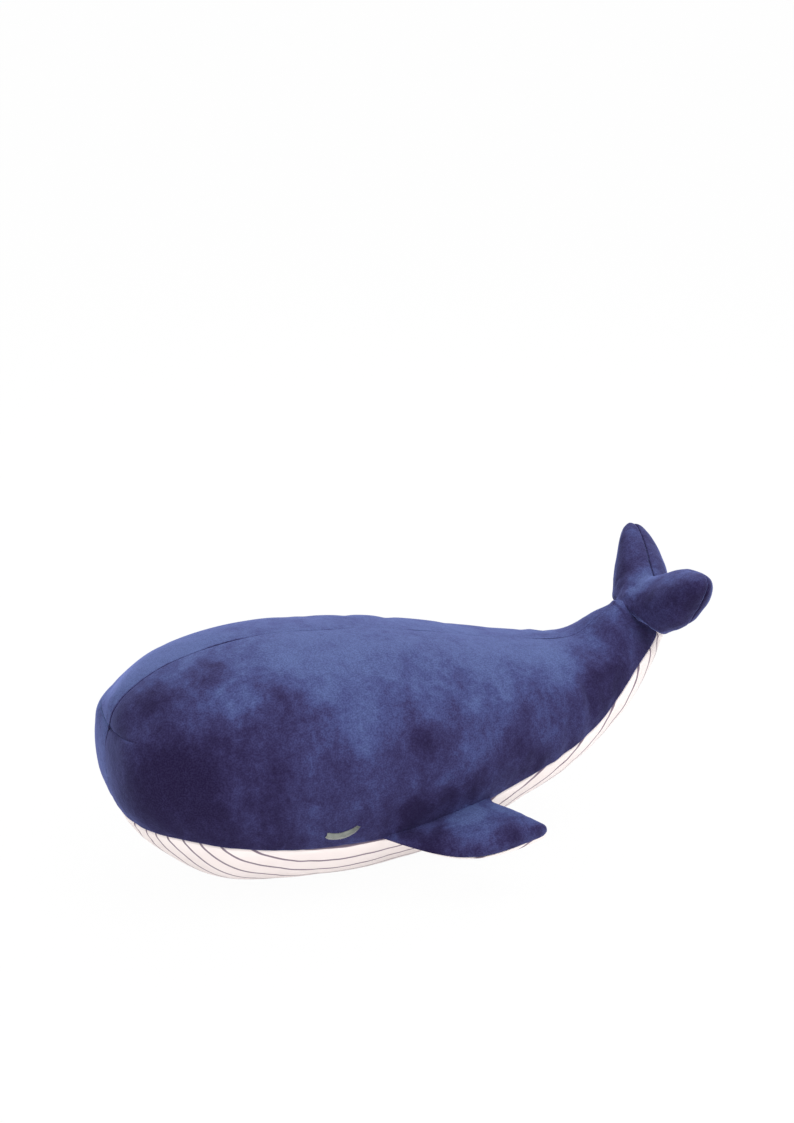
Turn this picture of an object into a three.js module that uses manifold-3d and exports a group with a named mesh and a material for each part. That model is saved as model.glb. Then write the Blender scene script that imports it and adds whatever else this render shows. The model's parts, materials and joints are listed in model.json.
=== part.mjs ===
// Plush whale cushion, sewn from velvet and striped jersey over loose stuffing.
// Millimetres. +X runs from the nose to the tail, +Z is up, and the whale's left side faces -Y.
// The origin lies on the floor, under the middle of the whole toy.
import * as THREE from 'three';
import { mergeVertices } from 'three/addons/utils/BufferGeometryUtils.js';
import Module from 'manifold-3d';

const wasm = await Module();
wasm.setup();

// Body
const bodyLength = 516;
const bodyHeight = 211;
const bodyWidth = 236;
const coverThickness = 2.4;
const seamGap = 0.3;
const fillGap = 0.7;
const seamDip = 1.5;
const seamDipReach = 12;
const sectionPower = 2.25;

// The body's outline at each station from the nose to the tail, as shares of the length and the height:
// the back line, the belly line, and the half width as a share of half the body's width.
// The belly line lies half a millimetre under the floor where the toy rests, and is cut flat there.
const bodyShares = [
  { back: [0, 0.512], belly: [0, 0.512], width: 0 },
  { back: [0, 0.644], belly: [0.006, 0.407], width: 0.324 },
  { back: [0.018, 0.782], belly: [0.032, 0.29], width: 0.576 },
  { back: [0.065, 0.888], belly: [0.079, 0.172], width: 0.741 },
  { back: [0.129, 0.956], belly: [0.139, 0.072], width: 0.889 },
  { back: [0.212, 0.997], belly: [0.218, 0.01], width: 0.974 },
  { back: [0.311, 1], belly: [0.315, -0.0026], width: 1 },
  { back: [0.478, 0.954], belly: [0.482, -0.0026], width: 0.953 },
  { back: [0.65, 0.859], belly: [0.662, 0.133], width: 0.777 },
  { back: [0.763, 0.803], belly: [0.787, 0.258], width: 0.625 },
  { back: [0.831, 0.795], belly: [0.898, 0.434], width: 0.444 },
  { back: [0.87, 0.851], belly: [0.964, 0.595], width: 0.294 },
  { back: [0.909, 0.912], belly: [1, 0.742], width: 0.18 },
];
const lastStation = bodyShares.length - 1;
const noseStation = 0.02;

// The seam between velvet and jersey on the side view, as shares of the length and the height.
const bellySeamShares = [
  [0, 0.366],
  [0.095, 0.35],
  [0.25, 0.299],
  [0.405, 0.279],
  [0.58, 0.327],
  [0.736, 0.417],
  [0.862, 0.565],
  [0.93, 0.684],
  [1, 0.806],
];

// Where the rows of facets lie round a side panel and round the belly, as shares of the way.
const sideRowShares = [0, 0.04, 0.11, 0.22, 0.36, 0.52, 0.68, 0.83, 0.94, 1];
const bellyRowShares = [0, 0.07, 0.19, 0.33, 0.445, 0.555, 0.67, 0.81, 0.93, 1];
const rowCrowding = 1.5;
const chinRingShares = [0, 0.04, 0.13, 0.3, 0.6];
const noseRings = 3;
const ringsPerStation = 2;

// Nose dart, a short sewn tuck on each side of the centre seam
const dartHeight = 151;
const dartRise = 4;
const dartLength = 54;
const dartDepth = 1.5;
const dartWidth = 2.4;
const dartSteps = 7;

// Closed eye, embroidered in satin stitch
const eyeStationShare = 0.503;
const eyeAngle = 106;
const eyeLength = 33;
const eyeSag = 9;
const eyeStitchWidth = 6.4;
const eyeStitchHeight = 1.3;
const eyeEndShare = 0.2;
const eyeSteps = 10;

// Fins, sewn into the belly seam
const finRootStartShare = 0.548;
const finRootEndShare = 0.638;
const finLength = 125.5;
const finReach = 55.3;
const finHalfThickness = 13;
const finDroop = 20;
const finRootGap = 0.7;
const finUndersideShare = 0.85;
const finFrontShares = [
  [0, 0],
  [0.165, 0.42],
  [0.34, 0.757],
  [0.515, 0.93],
  [0.7, 0.99],
  [0.875, 0.965],
  [1, 0.82],
];
const finBackShares = [[0.85, 0.1], [0.91, 0.33], [0.96, 0.59], [1, 0.82]];
const finSwellShares = [[0, 0.02], [0.14, 0.5], [0.35, 0.9], [0.55, 1], [0.75, 0.85], [0.9, 0.52], [1, 0]];
const finRowShares = [0, 0.06, 0.16, 0.3, 0.5, 0.7, 0.84, 0.94, 1];
const finColumnShares = [0, 0.08, 0.2, 0.35, 0.52, 0.7, 0.85, 0.95, 1];
const finFillRows = [1, 7];
const finFillColumns = [2, 6];
const finSwellPower = 0.55;

// Tail fluke: two stuffed lobes on one short root, with tips that curl up
const flukeRootLength = 5;
const flukeTipAlong = 57;
const flukeTipAside = 71;
const flukeCurl = 12.8;
const rootTaper = 10;

// The lobe's and the root's sections at each share of the way, as shares of the tail end's half width
// and half thickness
const lobeShares = [
  { way: -0.1, chord: 0.6, thickness: 0.6 },
  { way: 0, chord: 0.98, thickness: 0.9 },
  { way: 0.12, chord: 1.2, thickness: 0.84 },
  { way: 0.32, chord: 1.14, thickness: 0.79 },
  { way: 0.55, chord: 1.1, thickness: 0.8 },
  { way: 0.76, chord: 0.8, thickness: 0.68 },
  { way: 0.9, chord: 0.55, thickness: 0.48 },
  { way: 0.97, chord: 0.33, thickness: 0.29 },
];
const lobeStartShare = -0.16;
const rootShares = [
  { way: -2, chord: 1, thickness: 1 },
  { way: 1, chord: 0.99, thickness: 0.98 },
  { way: 3, chord: 0.7, thickness: 0.8 },
];
const rootEndShare = 4.2;
const lobeSides = 14;

const degrees = Math.PI / 180;
const tiny = 1e-3;
const yAxis = new THREE.Vector3(0, 1, 0);
const zAxis = new THREE.Vector3(0, 0, 1);
const lerp = THREE.MathUtils.lerp;

// A natural cubic spline through the values, one at each place.
function splineThrough(places, values) {
  const n = values.length;
  const second = new Array(n).fill(0);
  const work = new Array(n).fill(0);
  for (let i = 1; i < n - 1; i++) {
    const share = (places[i] - places[i - 1]) / (places[i + 1] - places[i - 1]);
    const pivot = share * second[i - 1] + 2;
    const right = (values[i + 1] - values[i]) / (places[i + 1] - places[i]);
    const left = (values[i] - values[i - 1]) / (places[i] - places[i - 1]);
    second[i] = (share - 1) / pivot;
    work[i] = ((6 * (right - left)) / (places[i + 1] - places[i - 1]) - share * work[i - 1]) / pivot;
  }
  for (let i = n - 2; i >= 0; i--) second[i] = second[i] * second[i + 1] + work[i];
  return (place) => {
    let k = 0;
    while (k < n - 2 && place > places[k + 1]) k++;
    const span = places[k + 1] - places[k];
    const before = (places[k + 1] - place) / span;
    const after = (place - places[k]) / span;
    const bend = (before ** 3 - before) * second[k] + (after ** 3 - after) * second[k + 1];
    return before * values[k] + after * values[k + 1] + (bend * span * span) / 6;
  };
}

// The place between low and high where the test stops being true.
function turningPlace(low, high, test) {
  for (let i = 0; i < 50; i++) {
    const middle = (low + high) / 2;
    if (test(middle)) low = middle;
    else high = middle;
  }
  return (low + high) / 2;
}

// Splines over the stations, carried on past the nose as in a mirror, so that the nose is round.
function throughNose(values, sign) {
  const mirrored = [sign * values[2], sign * values[1], ...values];
  return splineThrough(mirrored.map((_, i) => i - 2), mirrored);
}
const backX = bodyShares.map((s) => s.back[0] * bodyLength);
const backZ = bodyShares.map((s) => s.back[1] * bodyHeight);
const bellyX = bodyShares.map((s) => s.belly[0] * bodyLength);
const bellyZ = bodyShares.map((s) => s.belly[1] * bodyHeight);
const centreX = throughNose(backX.map((x, i) => (x + bellyX[i]) / 2), 1);
const centreZ = throughNose(backZ.map((z, i) => (z + bellyZ[i]) / 2), 1);
const halfX = throughNose(backX.map((x, i) => (x - bellyX[i]) / 2), -1);
const halfZ = throughNose(backZ.map((z, i) => (z - bellyZ[i]) / 2), -1);
const halfWidth = throughNose(bodyShares.map((s) => (s.width * bodyWidth) / 2), -1);

// A point of the smooth form. The angle runs from the back, 0, over the left side to the belly, pi.
function formPoint(station, angle) {
  const up = Math.cos(angle);
  const out = Math.sin(angle);
  const radius = (Math.abs(up) ** sectionPower + Math.abs(out) ** sectionPower) ** (-1 / sectionPower);
  return new THREE.Vector3(
    centreX(station) + halfX(station) * radius * up,
    -halfWidth(station) * radius * out,
    centreZ(station) + halfZ(station) * radius * up,
  );
}

// The point with its outward normal, and how the surface runs there per station and per radian.
// At the very nose every angle gives one point, and the form faces square to its own height.
function formFrame(station, angle) {
  const point = formPoint(station, angle);
  if (station < noseStation) {
    return { point, normal: new THREE.Vector3(-halfZ(noseStation), 0, halfX(noseStation)).normalize() };
  }
  const along = formPoint(station + tiny, angle).sub(formPoint(station - tiny, angle));
  const round = formPoint(station, angle + tiny).sub(formPoint(station, angle - tiny));
  const normal = new THREE.Vector3().crossVectors(round, along).normalize();
  return { point, normal, along: along.divideScalar(2 * tiny), round: round.divideScalar(2 * tiny) };
}

const seamHeight = splineThrough(
  bellySeamShares.map((s) => s[0] * bodyLength),
  bellySeamShares.map((s) => s[1] * bodyHeight),
);
const seamSlope = (x) => (seamHeight(x + seamGap) - seamHeight(x - seamGap)) / (2 * seamGap);
const aboveSeam = (point) => point.z - seamHeight(point.x);

// The direction in the surface that leads up and square away from the belly seam.
function acrossSeam({ point, normal }) {
  const rise = new THREE.Vector3(-seamSlope(point.x), 0, 1);
  return rise.addScaledVector(normal, -rise.dot(normal));
}

// The station under the nose where the belly's jersey begins, and the seam's angle at each station.
const chinStation = turningPlace(0, lastStation / 2, (s) => aboveSeam(formPoint(s, Math.PI)) > 0);
function seamAngle(station) {
  if (station <= chinStation) return Math.PI;
  return turningPlace(Math.PI / 3, Math.PI, (angle) => aboveSeam(formPoint(station, angle)) > 0);
}

// A point of the sewn body: the smooth form, drawn in along its seams and flat where it rests.
function bodyPoint(station, angle, inset = 0, edge = 0) {
  const frame = formFrame(station, angle);
  const across = acrossSeam(frame);
  const height = aboveSeam(frame.point);
  const toBellySeam = Math.abs(height) / across.length();
  const toBackSeam = height > -tiny ? Math.abs(frame.point.y) : Infinity;
  const share = Math.max(0, 1 - Math.min(toBellySeam, toBackSeam) / seamDipReach);
  const point = frame.point.clone().addScaledVector(frame.normal, -inset - seamDip * share * share);
  point.addScaledVector(across.normalize(), edge);
  point.z = Math.max(point.z, inset);
  return point;
}

// One body from a list of triangles, with its shared corners merged and its faces pointing out
function closedGeometry(triangles) {
  const corners = triangles.flat().flatMap((p) => [p.x, p.y, p.z]);
  const loose = new THREE.BufferGeometry();
  loose.setAttribute('position', new THREE.Float32BufferAttribute(corners, 3));
  const welded = mergeVertices(loose, tiny);
  const old = welded.index.array;
  const index = [];
  for (let i = 0; i < old.length; i += 3) {
    const [a, b, c] = [old[i], old[i + 1], old[i + 2]];
    if (a !== b && b !== c && c !== a) index.push(a, b, c);
  }
  welded.setIndex(index);
  return outward(welded);
}

function turned(geometry) {
  const index = geometry.index.array;
  for (let i = 0; i < index.length; i += 3) [index[i + 1], index[i + 2]] = [index[i + 2], index[i + 1]];
  return geometry;
}

function outward(geometry) {
  const places = geometry.attributes.position;
  const index = geometry.index.array;
  let volume = 0;
  for (let i = 0; i < index.length; i += 3) {
    const [a, b, c] = [0, 1, 2].map((k) => new THREE.Vector3().fromBufferAttribute(places, index[i + k]));
    volume += a.dot(b.cross(c));
  }
  return volume < 0 ? turned(geometry) : geometry;
}

// The facets between neighbouring loops. Past the turn, where a loop runs back, they are split the
// other way, so that the two faces of a cover and the stuffing under it have like facets.
function between(ringA, ringB, turn) {
  return ringA.flatMap((a, i) => {
    const j = (i + 1) % ringA.length;
    if (i < turn) return [[a, ringA[j], ringB[i]], [ringA[j], ringB[j], ringB[i]]];
    return [[a, ringA[j], ringB[j]], [a, ringB[j], ringB[i]]];
  });
}
const betweenAll = (rings, turn) => rings.slice(1).flatMap((ring, i) => between(rings[i], ring, turn));
const centreOf = (ring) => ring.reduce((sum, p) => sum.add(p), new THREE.Vector3()).divideScalar(ring.length);

// A solid through closed loops, with a tip at each end
function loftSolid(rings, startTip, endTip, turn = Infinity) {
  const fan = (ring, tip) => ring.map((p, i) => [p, ring[(i + 1) % ring.length], tip]);
  const start = fan(rings[0], startTip).map((triangle) => triangle.reverse());
  const end = fan(rings[rings.length - 1], endTip);
  return closedGeometry([...start, ...betweenAll(rings, turn), ...end]);
}

// A cover, or a lens: each loop runs along its outer face and back along its inner face.
function coverSolid(rings) {
  const half = rings[0].length / 2;
  const lid = (ring) =>
    Array.from({ length: half - 1 }, (_, i) => {
      const j = ring.length - 1 - i;
      return [[ring[i], ring[j], ring[i + 1]], [ring[i + 1], ring[j], ring[j - 1]]];
    }).flat();
  const end = lid(rings[rings.length - 1]).map((triangle) => triangle.reverse());
  return closedGeometry([...lid(rings[0]), ...betweenAll(rings, half), ...end]);
}

const rightSide = (geometry) => turned(geometry.clone().scale(1, -1, 1));

// Solids for cutting and joining
function toManifold(geometry) {
  return new wasm.Manifold(
    new wasm.Mesh({
      numProp: 3,
      vertProperties: new Float32Array(geometry.attributes.position.array),
      triVerts: new Uint32Array(geometry.index.array),
    }),
  );
}

function fromManifold(solid) {
  const mesh = solid.getMesh();
  const geometry = new THREE.BufferGeometry();
  geometry.setAttribute('position', new THREE.BufferAttribute(mesh.vertProperties, 3));
  geometry.setIndex(new THREE.BufferAttribute(mesh.triVerts, 1));
  return geometry;
}

// The body's rings lie closer together where the belly seam turns under the nose.
const chinEnd = Math.ceil(chinStation);
const ringStations = [
  ...Array.from({ length: noseRings }, (_, i) => (i / noseRings) * chinStation),
  ...chinRingShares.map((share) => lerp(chinStation, chinEnd, share)),
  ...Array.from(
    { length: (lastStation - chinEnd) * ringsPerStation + 1 },
    (_, i) => chinEnd + i / ringsPerStation,
  ),
];

// The tail end, where the fluke is sewn on. Both sides are cut like a low roof with its ridge across
// the tail, so that they meet along the ridge and the fluke can swing up and down on it.
const tailEnd = (() => {
  const centre = new THREE.Vector3(centreX(lastStation), 0, centreZ(lastStation));
  const up = new THREE.Vector3(halfX(lastStation), 0, halfZ(lastStation));
  const thickness = up.length();
  up.normalize();
  const along = new THREE.Vector3().crossVectors(yAxis, up);
  return { centre, up, along, thickness, width: halfWidth(lastStation) };
})();
const roofSlope = Math.tan(rootTaper * degrees);
const ridgeRise = tailEnd.thickness * roofSlope;

// A point of a body ring. The last ring is drawn out to the roof at the tail end.
function ringPoint(station, angle, inset, edge) {
  const point = bodyPoint(station, angle, inset, edge);
  if (station < lastStation) return point;
  const up = point.clone().sub(tailEnd.centre).dot(tailEnd.up);
  return point.addScaledVector(tailEnd.along, ridgeRise - Math.abs(up) * roofSlope);
}

// The rows of a side panel lie evenly over the back and close up towards the belly seam.
const sideAngles = (end) =>
  sideRowShares.map((share) => share * Math.PI - (Math.PI - end) * share ** rowCrowding);

function sidePanel() {
  const rings = ringStations.map((station) => {
    const end = seamAngle(station);
    const row = (inset) =>
      sideAngles(end).map((angle, i) => {
        const edge = i === sideRowShares.length - 1 && station >= chinStation ? seamGap / 2 : 0;
        const point = ringPoint(station, angle, inset, edge);
        point.y = Math.min(point.y, -seamGap / 2);
        return point;
      });
    return [...row(0), ...row(coverThickness).reverse()];
  });
  return coverSolid(rings);
}

// The groove of the dart, which runs over the side panel from the centre seam
function dartGroove() {
  const angleAt = (height, station) =>
    turningPlace(0, Math.PI, (angle) => formPoint(station, angle).z > height);
  const stationAt = (height, aside) =>
    turningPlace(0, lastStation / 2, (station) => {
      const point = formPoint(station, angleAt(height, station));
      return formPoint(station, 0).z < height || -point.y < aside;
    });
  const rings = [];
  for (let i = 0; i <= dartSteps; i++) {
    const way = i / dartSteps;
    const height = dartHeight + way * dartRise;
    const station = stationAt(height, way * dartLength);
    const angle = angleAt(height, station);
    const { normal } = formFrame(station, angle);
    const size = Math.min(1, 2 * (1 + tiny - way));
    const corner = (rise, out) =>
      bodyPoint(station, angle)
        .addScaledVector(zAxis, rise * dartWidth * size)
        .addScaledVector(normal, out * size);
    rings.push([corner(1 / 2, dartDepth), corner(-1 / 2, dartDepth), corner(0, -dartDepth)]);
  }
  rings[0].forEach((p) => p.addScaledVector(yAxis, dartWidth));
  return loftSolid(rings, centreOf(rings[0]), centreOf(rings[dartSteps]));
}

function sidePanelWithDart() {
  return fromManifold(toManifold(sidePanel()).subtract(toManifold(dartGroove())));
}

function bellyPanel() {
  const rings = ringStations
    .filter((station) => station > chinStation)
    .map((station) => {
      const start = seamAngle(station);
      const row = (inset) =>
        bellyRowShares.map((share) => {
          const edge = share === 0 || share === 1 ? -seamGap / 2 : 0;
          return ringPoint(station, lerp(start, 2 * Math.PI - start, share), inset, edge);
        });
      return [...row(0), ...row(coverThickness).reverse()];
    });
  return coverSolid(rings);
}

function bodyStuffing() {
  const belly = (end) => bellyRowShares.slice(1, -1).map((share) => lerp(end, 2 * Math.PI - end, share));
  const right = (end) => sideAngles(end).slice(1).reverse().map((angle) => 2 * Math.PI - angle);
  const rings = ringStations.map((station) => {
    const end = seamAngle(station);
    const angles = [...sideAngles(end), ...belly(end), ...right(end)];
    return angles.map((angle) => ringPoint(station, angle, coverThickness + fillGap));
  });
  const ridge = tailEnd.centre.clone().addScaledVector(tailEnd.along, ridgeRise);
  const turn = sideRowShares.length + bellyRowShares.length - 2;
  return loftSolid(rings, centreOf(rings[0]), ridge, turn);
}

// The closed eye: a bowed band of stitches that lies on the left side panel
function eyeEmbroidery() {
  const station = eyeStationShare * lastStation;
  const angle = eyeAngle * degrees;
  const { along, round } = formFrame(station, angle);
  const bow = (eyeLength * eyeLength) / (8 * eyeSag) + eyeSag / 2;
  const sweep = 2 * Math.asin(eyeLength / (2 * bow));
  const rings = [];
  for (let i = 0; i <= eyeSteps; i++) {
    const way = i / eyeSteps;
    const turn = lerp(-sweep / 2, sweep / 2, way);
    const width = eyeStitchWidth * Math.sin(lerp(eyeEndShare, 1 - eyeEndShare, way) * Math.PI) ** 0.5;
    const stitch = (across, rise) => {
      const forward = (bow + across * width) * Math.sin(turn);
      const down = (bow + across * width) * Math.cos(turn) - bow + eyeSag / 2;
      const outset = seamGap + rise * eyeStitchHeight;
      return bodyPoint(station + forward / along.length(), angle + down / round.length(), -outset);
    };
    rings.push([
      stitch(-1 / 2, 0),
      stitch(1 / 2, 0),
      stitch(1 / 2, 1 / 2),
      stitch(1 / 4, 1),
      stitch(-1 / 4, 1),
      stitch(-1 / 2, 1 / 2),
    ]);
  }
  return loftSolid(rings, centreOf(rings[0]), centreOf(rings[eyeSteps]));
}

// The left fin's frame. Its root follows the belly seam, it swings on the line that touches the
// root's bow, and it droops from there.
const finRootPoint = (share) => {
  const station = lerp(finRootStartShare, finRootEndShare, share) * lastStation;
  return bodyPoint(station, seamAngle(station), -finRootGap);
};
const finFrame = (() => {
  const start = finRootPoint(0);
  const end = finRootPoint(1);
  const along = end.clone().sub(start);
  const rootLength = along.length();
  along.normalize();
  const level = yAxis.clone().negate().addScaledVector(along, along.y).normalize();
  const upright = new THREE.Vector3().crossVectors(level, along);
  const droop = finDroop * degrees;
  const out = level.multiplyScalar(Math.cos(droop)).addScaledVector(upright, -Math.sin(droop));
  const up = new THREE.Vector3().crossVectors(out, along);
  const bow = finRootPoint(1 / 2).sub(start).dot(out);
  start.addScaledVector(out, bow);
  end.addScaledVector(out, bow);
  return { start, end, along, out, up, rootLength };
})();

const finCurve = (shares) =>
  new THREE.SplineCurve(shares.map(([along, out]) => new THREE.Vector2(along * finLength, out * finReach)));
const finFront = finCurve(finFrontShares);
const finBack = finCurve([[finFrame.rootLength / finLength, 0], ...finBackShares]);
const finSwell = splineThrough(finSwellShares.map((s) => s[0]), finSwellShares.map((s) => s[1]));

// A point of the fin, at a share of the way from root to tip and from front edge to back edge
function finPoint(way, share, height) {
  const flat = finFront.getPoint(way).lerp(finBack.getPoint(way), share);
  const straight = finFrame.start.clone().lerp(finFrame.end, share);
  const bow = finRootPoint(share).sub(straight).multiplyScalar((1 - way) ** 2);
  return finFrame.start.clone()
    .addScaledVector(finFrame.along, flat.x)
    .addScaledVector(finFrame.out, flat.y)
    .addScaledVector(finFrame.up, height)
    .add(bow);
}
function finRise(way, share) {
  return finHalfThickness * finSwell(way) * (4 * share * (1 - share)) ** finSwellPower;
}

function finPanel(side) {
  const depth = side > 0 ? 1 : finUndersideShare;
  const rings = finColumnShares.map((way) => {
    const outer = finRowShares.map((share) => seamGap / 2 + depth * finRise(way, share));
    const inner = outer.map((height) => Math.max(seamGap / 2, height - coverThickness));
    const row = (heights) => heights.map((height, i) => finPoint(way, finRowShares[i], side * height));
    return [...row(outer), ...row(inner).reverse()];
  });
  return coverSolid(rings);
}

function finStuffing() {
  const inset = coverThickness + seamGap / 2;
  const rows = finRowShares.slice(finFillRows[0], finFillRows[1] + 1);
  const columns = finColumnShares.slice(finFillColumns[0], finFillColumns[1] + 1);
  const rings = columns.map((way) => {
    const top = rows.map((share) => finPoint(way, share, finRise(way, share) - inset));
    const bottom = rows.map((share) => finPoint(way, share, inset - finUndersideShare * finRise(way, share)));
    return [...top, ...bottom.reverse()];
  });
  return coverSolid(rings);
}

// A point in the fluke's frame, which starts at the ridge
const flukePivot = tailEnd.centre.clone().addScaledVector(tailEnd.along, ridgeRise + seamGap / 2);
function flukePoint(along, aside, up) {
  return flukePivot.clone()
    .addScaledVector(tailEnd.along, along)
    .addScaledVector(yAxis, aside)
    .addScaledVector(tailEnd.up, up);
}

// A stuffed form along a line in the fluke's flat, from sections across the line, drawn in by the inset
function flukeLimb(from, to, shares, startShare, endShare, inset) {
  const line = to.clone().sub(from);
  const across = new THREE.Vector2(-line.y, line.x).normalize();
  const short = 1 - inset / (endShare * line.length());
  const at = (way) => from.clone().addScaledVector(line, way > 0 ? way * short : way);
  const rings = shares.map(({ way, chord, thickness }) => {
    const section = Math.min(1, 2 * chord);
    return Array.from({ length: lobeSides }, (_, i) => {
      const turn = ((i + 1 / 2) / lobeSides) * 2 * Math.PI;
      const out = Math.cos(turn) * (chord * tailEnd.width - section * inset);
      const up = Math.sin(turn) * (thickness * tailEnd.thickness - section * inset);
      const point = at(way).addScaledVector(across, out);
      return flukePoint(point.x, point.y, up);
    });
  });
  const [start, end] = [at(startShare), at(endShare)];
  return toManifold(loftSolid(rings, flukePoint(start.x, start.y, 0), flukePoint(end.x, end.y, 0)));
}

function flukeForm(inset) {
  const centre = new THREE.Vector2(0, 0);
  const root = new THREE.Vector2(flukeRootLength, 0);
  const tip = (side) => new THREE.Vector2(flukeTipAlong, side * flukeTipAside);
  const lobes = [-1, 1].map((side) => flukeLimb(root, tip(side), lobeShares, lobeStartShare, 1, inset));
  return lobes[0].add(lobes[1]).add(flukeLimb(centre, root, rootShares, rootShares[0].way, rootEndShare, inset));
}

// All that lies on one side of a plane across the fluke's frame, turned about the tail's width
function flukeHalfSpace(start, turn) {
  const size = 4 * (flukeTipAlong + flukeTipAside);
  const block = new THREE.BoxGeometry(size, size, size);
  block.translate(size / 2 + start, 0, 0);
  block.rotateY(turn);
  const basis = new THREE.Matrix4().makeBasis(tailEnd.along, yAxis, tailEnd.up);
  block.applyMatrix4(basis.setPosition(flukePivot));
  ['normal', 'uv'].forEach((name) => block.deleteAttribute(name));
  return toManifold(outward(mergeVertices(block, tiny)));
}
const beyondRoof = () => {
  const turn = rootTaper * degrees;
  return flukeHalfSpace(seamGap / 2, turn).intersect(flukeHalfSpace(seamGap / 2, -turn));
};

// The lobes curl up towards their tips.
function curled(geometry) {
  const places = geometry.attributes.position;
  for (let i = 0; i < places.count; i++) {
    const point = new THREE.Vector3().fromBufferAttribute(places, i);
    const way = (Math.abs(point.y) - tailEnd.width) / (flukeTipAside - tailEnd.width);
    point.addScaledVector(tailEnd.up, flukeCurl * Math.max(0, way) ** 2);
    places.setXYZ(i, point.x, point.y, point.z);
  }
  return geometry;
}

function flukePanel(side) {
  const shell = flukeForm(0).subtract(flukeForm(coverThickness)).intersect(beyondRoof());
  return curled(fromManifold(shell.intersect(flukeHalfSpace(seamGap / 2, (-side * Math.PI) / 2))));
}
const flukeStuffing = () => curled(fromManifold(flukeForm(coverThickness + fillGap).intersect(beyondRoof())));

// Materials
const cloth = (color, roughness) => new THREE.MeshStandardMaterial({ color, roughness, metalness: 0 });
const blueVelvet = cloth(0x34427a, 0.9);
const stripedJersey = cloth(0xf3e8e4, 0.85);
const paleThread = cloth(0xb9bba9, 0.6);
const polyesterFill = cloth(0xf4f4f2, 0.95);

const whale = new THREE.Group();
function add(name, geometry, material) {
  const mesh = new THREE.Mesh(geometry, material);
  mesh.name = name;
  whale.add(mesh);
}
function addPair(name, geometry, material) {
  add(`left_${name}`, geometry, material);
  add(`right_${name}`, rightSide(geometry), material);
}

add('body_stuffing', bodyStuffing(), polyesterFill);
addPair('side_panel', sidePanelWithDart(), blueVelvet);
add('belly_panel', bellyPanel(), stripedJersey);
addPair('eye_embroidery', eyeEmbroidery(), paleThread);
addPair('fin_stuffing', finStuffing(), polyesterFill);
addPair('fin_top_panel', finPanel(1), blueVelvet);
addPair('fin_underside_panel', finPanel(-1), stripedJersey);
add('fluke_stuffing', flukeStuffing(), polyesterFill);
add('fluke_top_panel', flukePanel(1), blueVelvet);
add('fluke_underside_panel', flukePanel(-1), blueVelvet);

// The origin goes to the floor under the middle of the toy.
const middle = new THREE.Box3().setFromObject(whale).getCenter(new THREE.Vector3());
whale.position.x = -middle.x;

// The hinge lines of the sewn-on parts, in the toy's own frame
const placed = (point) => point.clone().setX(point.x - middle.x);
whale.userData.hinges = {
  leftFin: { point: placed(finFrame.start), axis: finFrame.along },
  fluke: { point: placed(flukePivot), axis: yAxis },
};

export default whale;
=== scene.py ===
"""Plush whale cushion: velvet sides, striped jersey belly, two side fins, a tail fluke and stitched eyes."""

import json
from math import cos, pi, radians, sin

import bpy
import numpy as np
from mathutils import Matrix, Vector, kdtree, noise
from mathutils.bvhtree import BVHTree

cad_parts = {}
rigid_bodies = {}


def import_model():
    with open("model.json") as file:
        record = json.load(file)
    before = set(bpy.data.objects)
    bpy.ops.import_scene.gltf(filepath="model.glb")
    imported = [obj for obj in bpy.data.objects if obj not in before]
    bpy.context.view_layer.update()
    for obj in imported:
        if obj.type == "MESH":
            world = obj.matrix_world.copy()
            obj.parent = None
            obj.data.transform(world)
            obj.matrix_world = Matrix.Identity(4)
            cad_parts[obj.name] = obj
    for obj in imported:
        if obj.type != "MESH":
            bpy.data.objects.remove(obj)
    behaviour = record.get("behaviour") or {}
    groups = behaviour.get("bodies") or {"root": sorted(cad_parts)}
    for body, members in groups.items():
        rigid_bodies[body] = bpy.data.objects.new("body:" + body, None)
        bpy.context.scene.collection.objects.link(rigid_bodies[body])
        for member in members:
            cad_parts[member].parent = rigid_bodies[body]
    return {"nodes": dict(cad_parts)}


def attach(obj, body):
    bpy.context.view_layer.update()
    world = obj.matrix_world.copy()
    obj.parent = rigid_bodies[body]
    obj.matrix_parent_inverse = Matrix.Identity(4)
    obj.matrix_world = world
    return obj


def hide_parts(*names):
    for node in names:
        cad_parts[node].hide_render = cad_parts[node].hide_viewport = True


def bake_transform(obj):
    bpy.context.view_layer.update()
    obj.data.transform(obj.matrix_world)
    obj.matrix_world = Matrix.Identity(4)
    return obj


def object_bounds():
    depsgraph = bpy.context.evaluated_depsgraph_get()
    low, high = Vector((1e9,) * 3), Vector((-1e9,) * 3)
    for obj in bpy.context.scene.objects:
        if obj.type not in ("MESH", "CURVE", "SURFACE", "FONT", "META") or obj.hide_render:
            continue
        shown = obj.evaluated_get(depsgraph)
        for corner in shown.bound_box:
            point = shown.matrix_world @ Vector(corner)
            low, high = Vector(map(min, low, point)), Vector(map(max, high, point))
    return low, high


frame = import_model()
cad_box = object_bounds()
MM = 0.001
NOSE_X = cad_box[0].x

# Camera
CAMERA_FROM_NOSE = Vector((-0.38231, -1.61001, 0.90064))
CAMERA_BACK = Vector((-0.34734, -0.87130, 0.34667))
LENS = 69.84
SENSOR = 36

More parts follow.
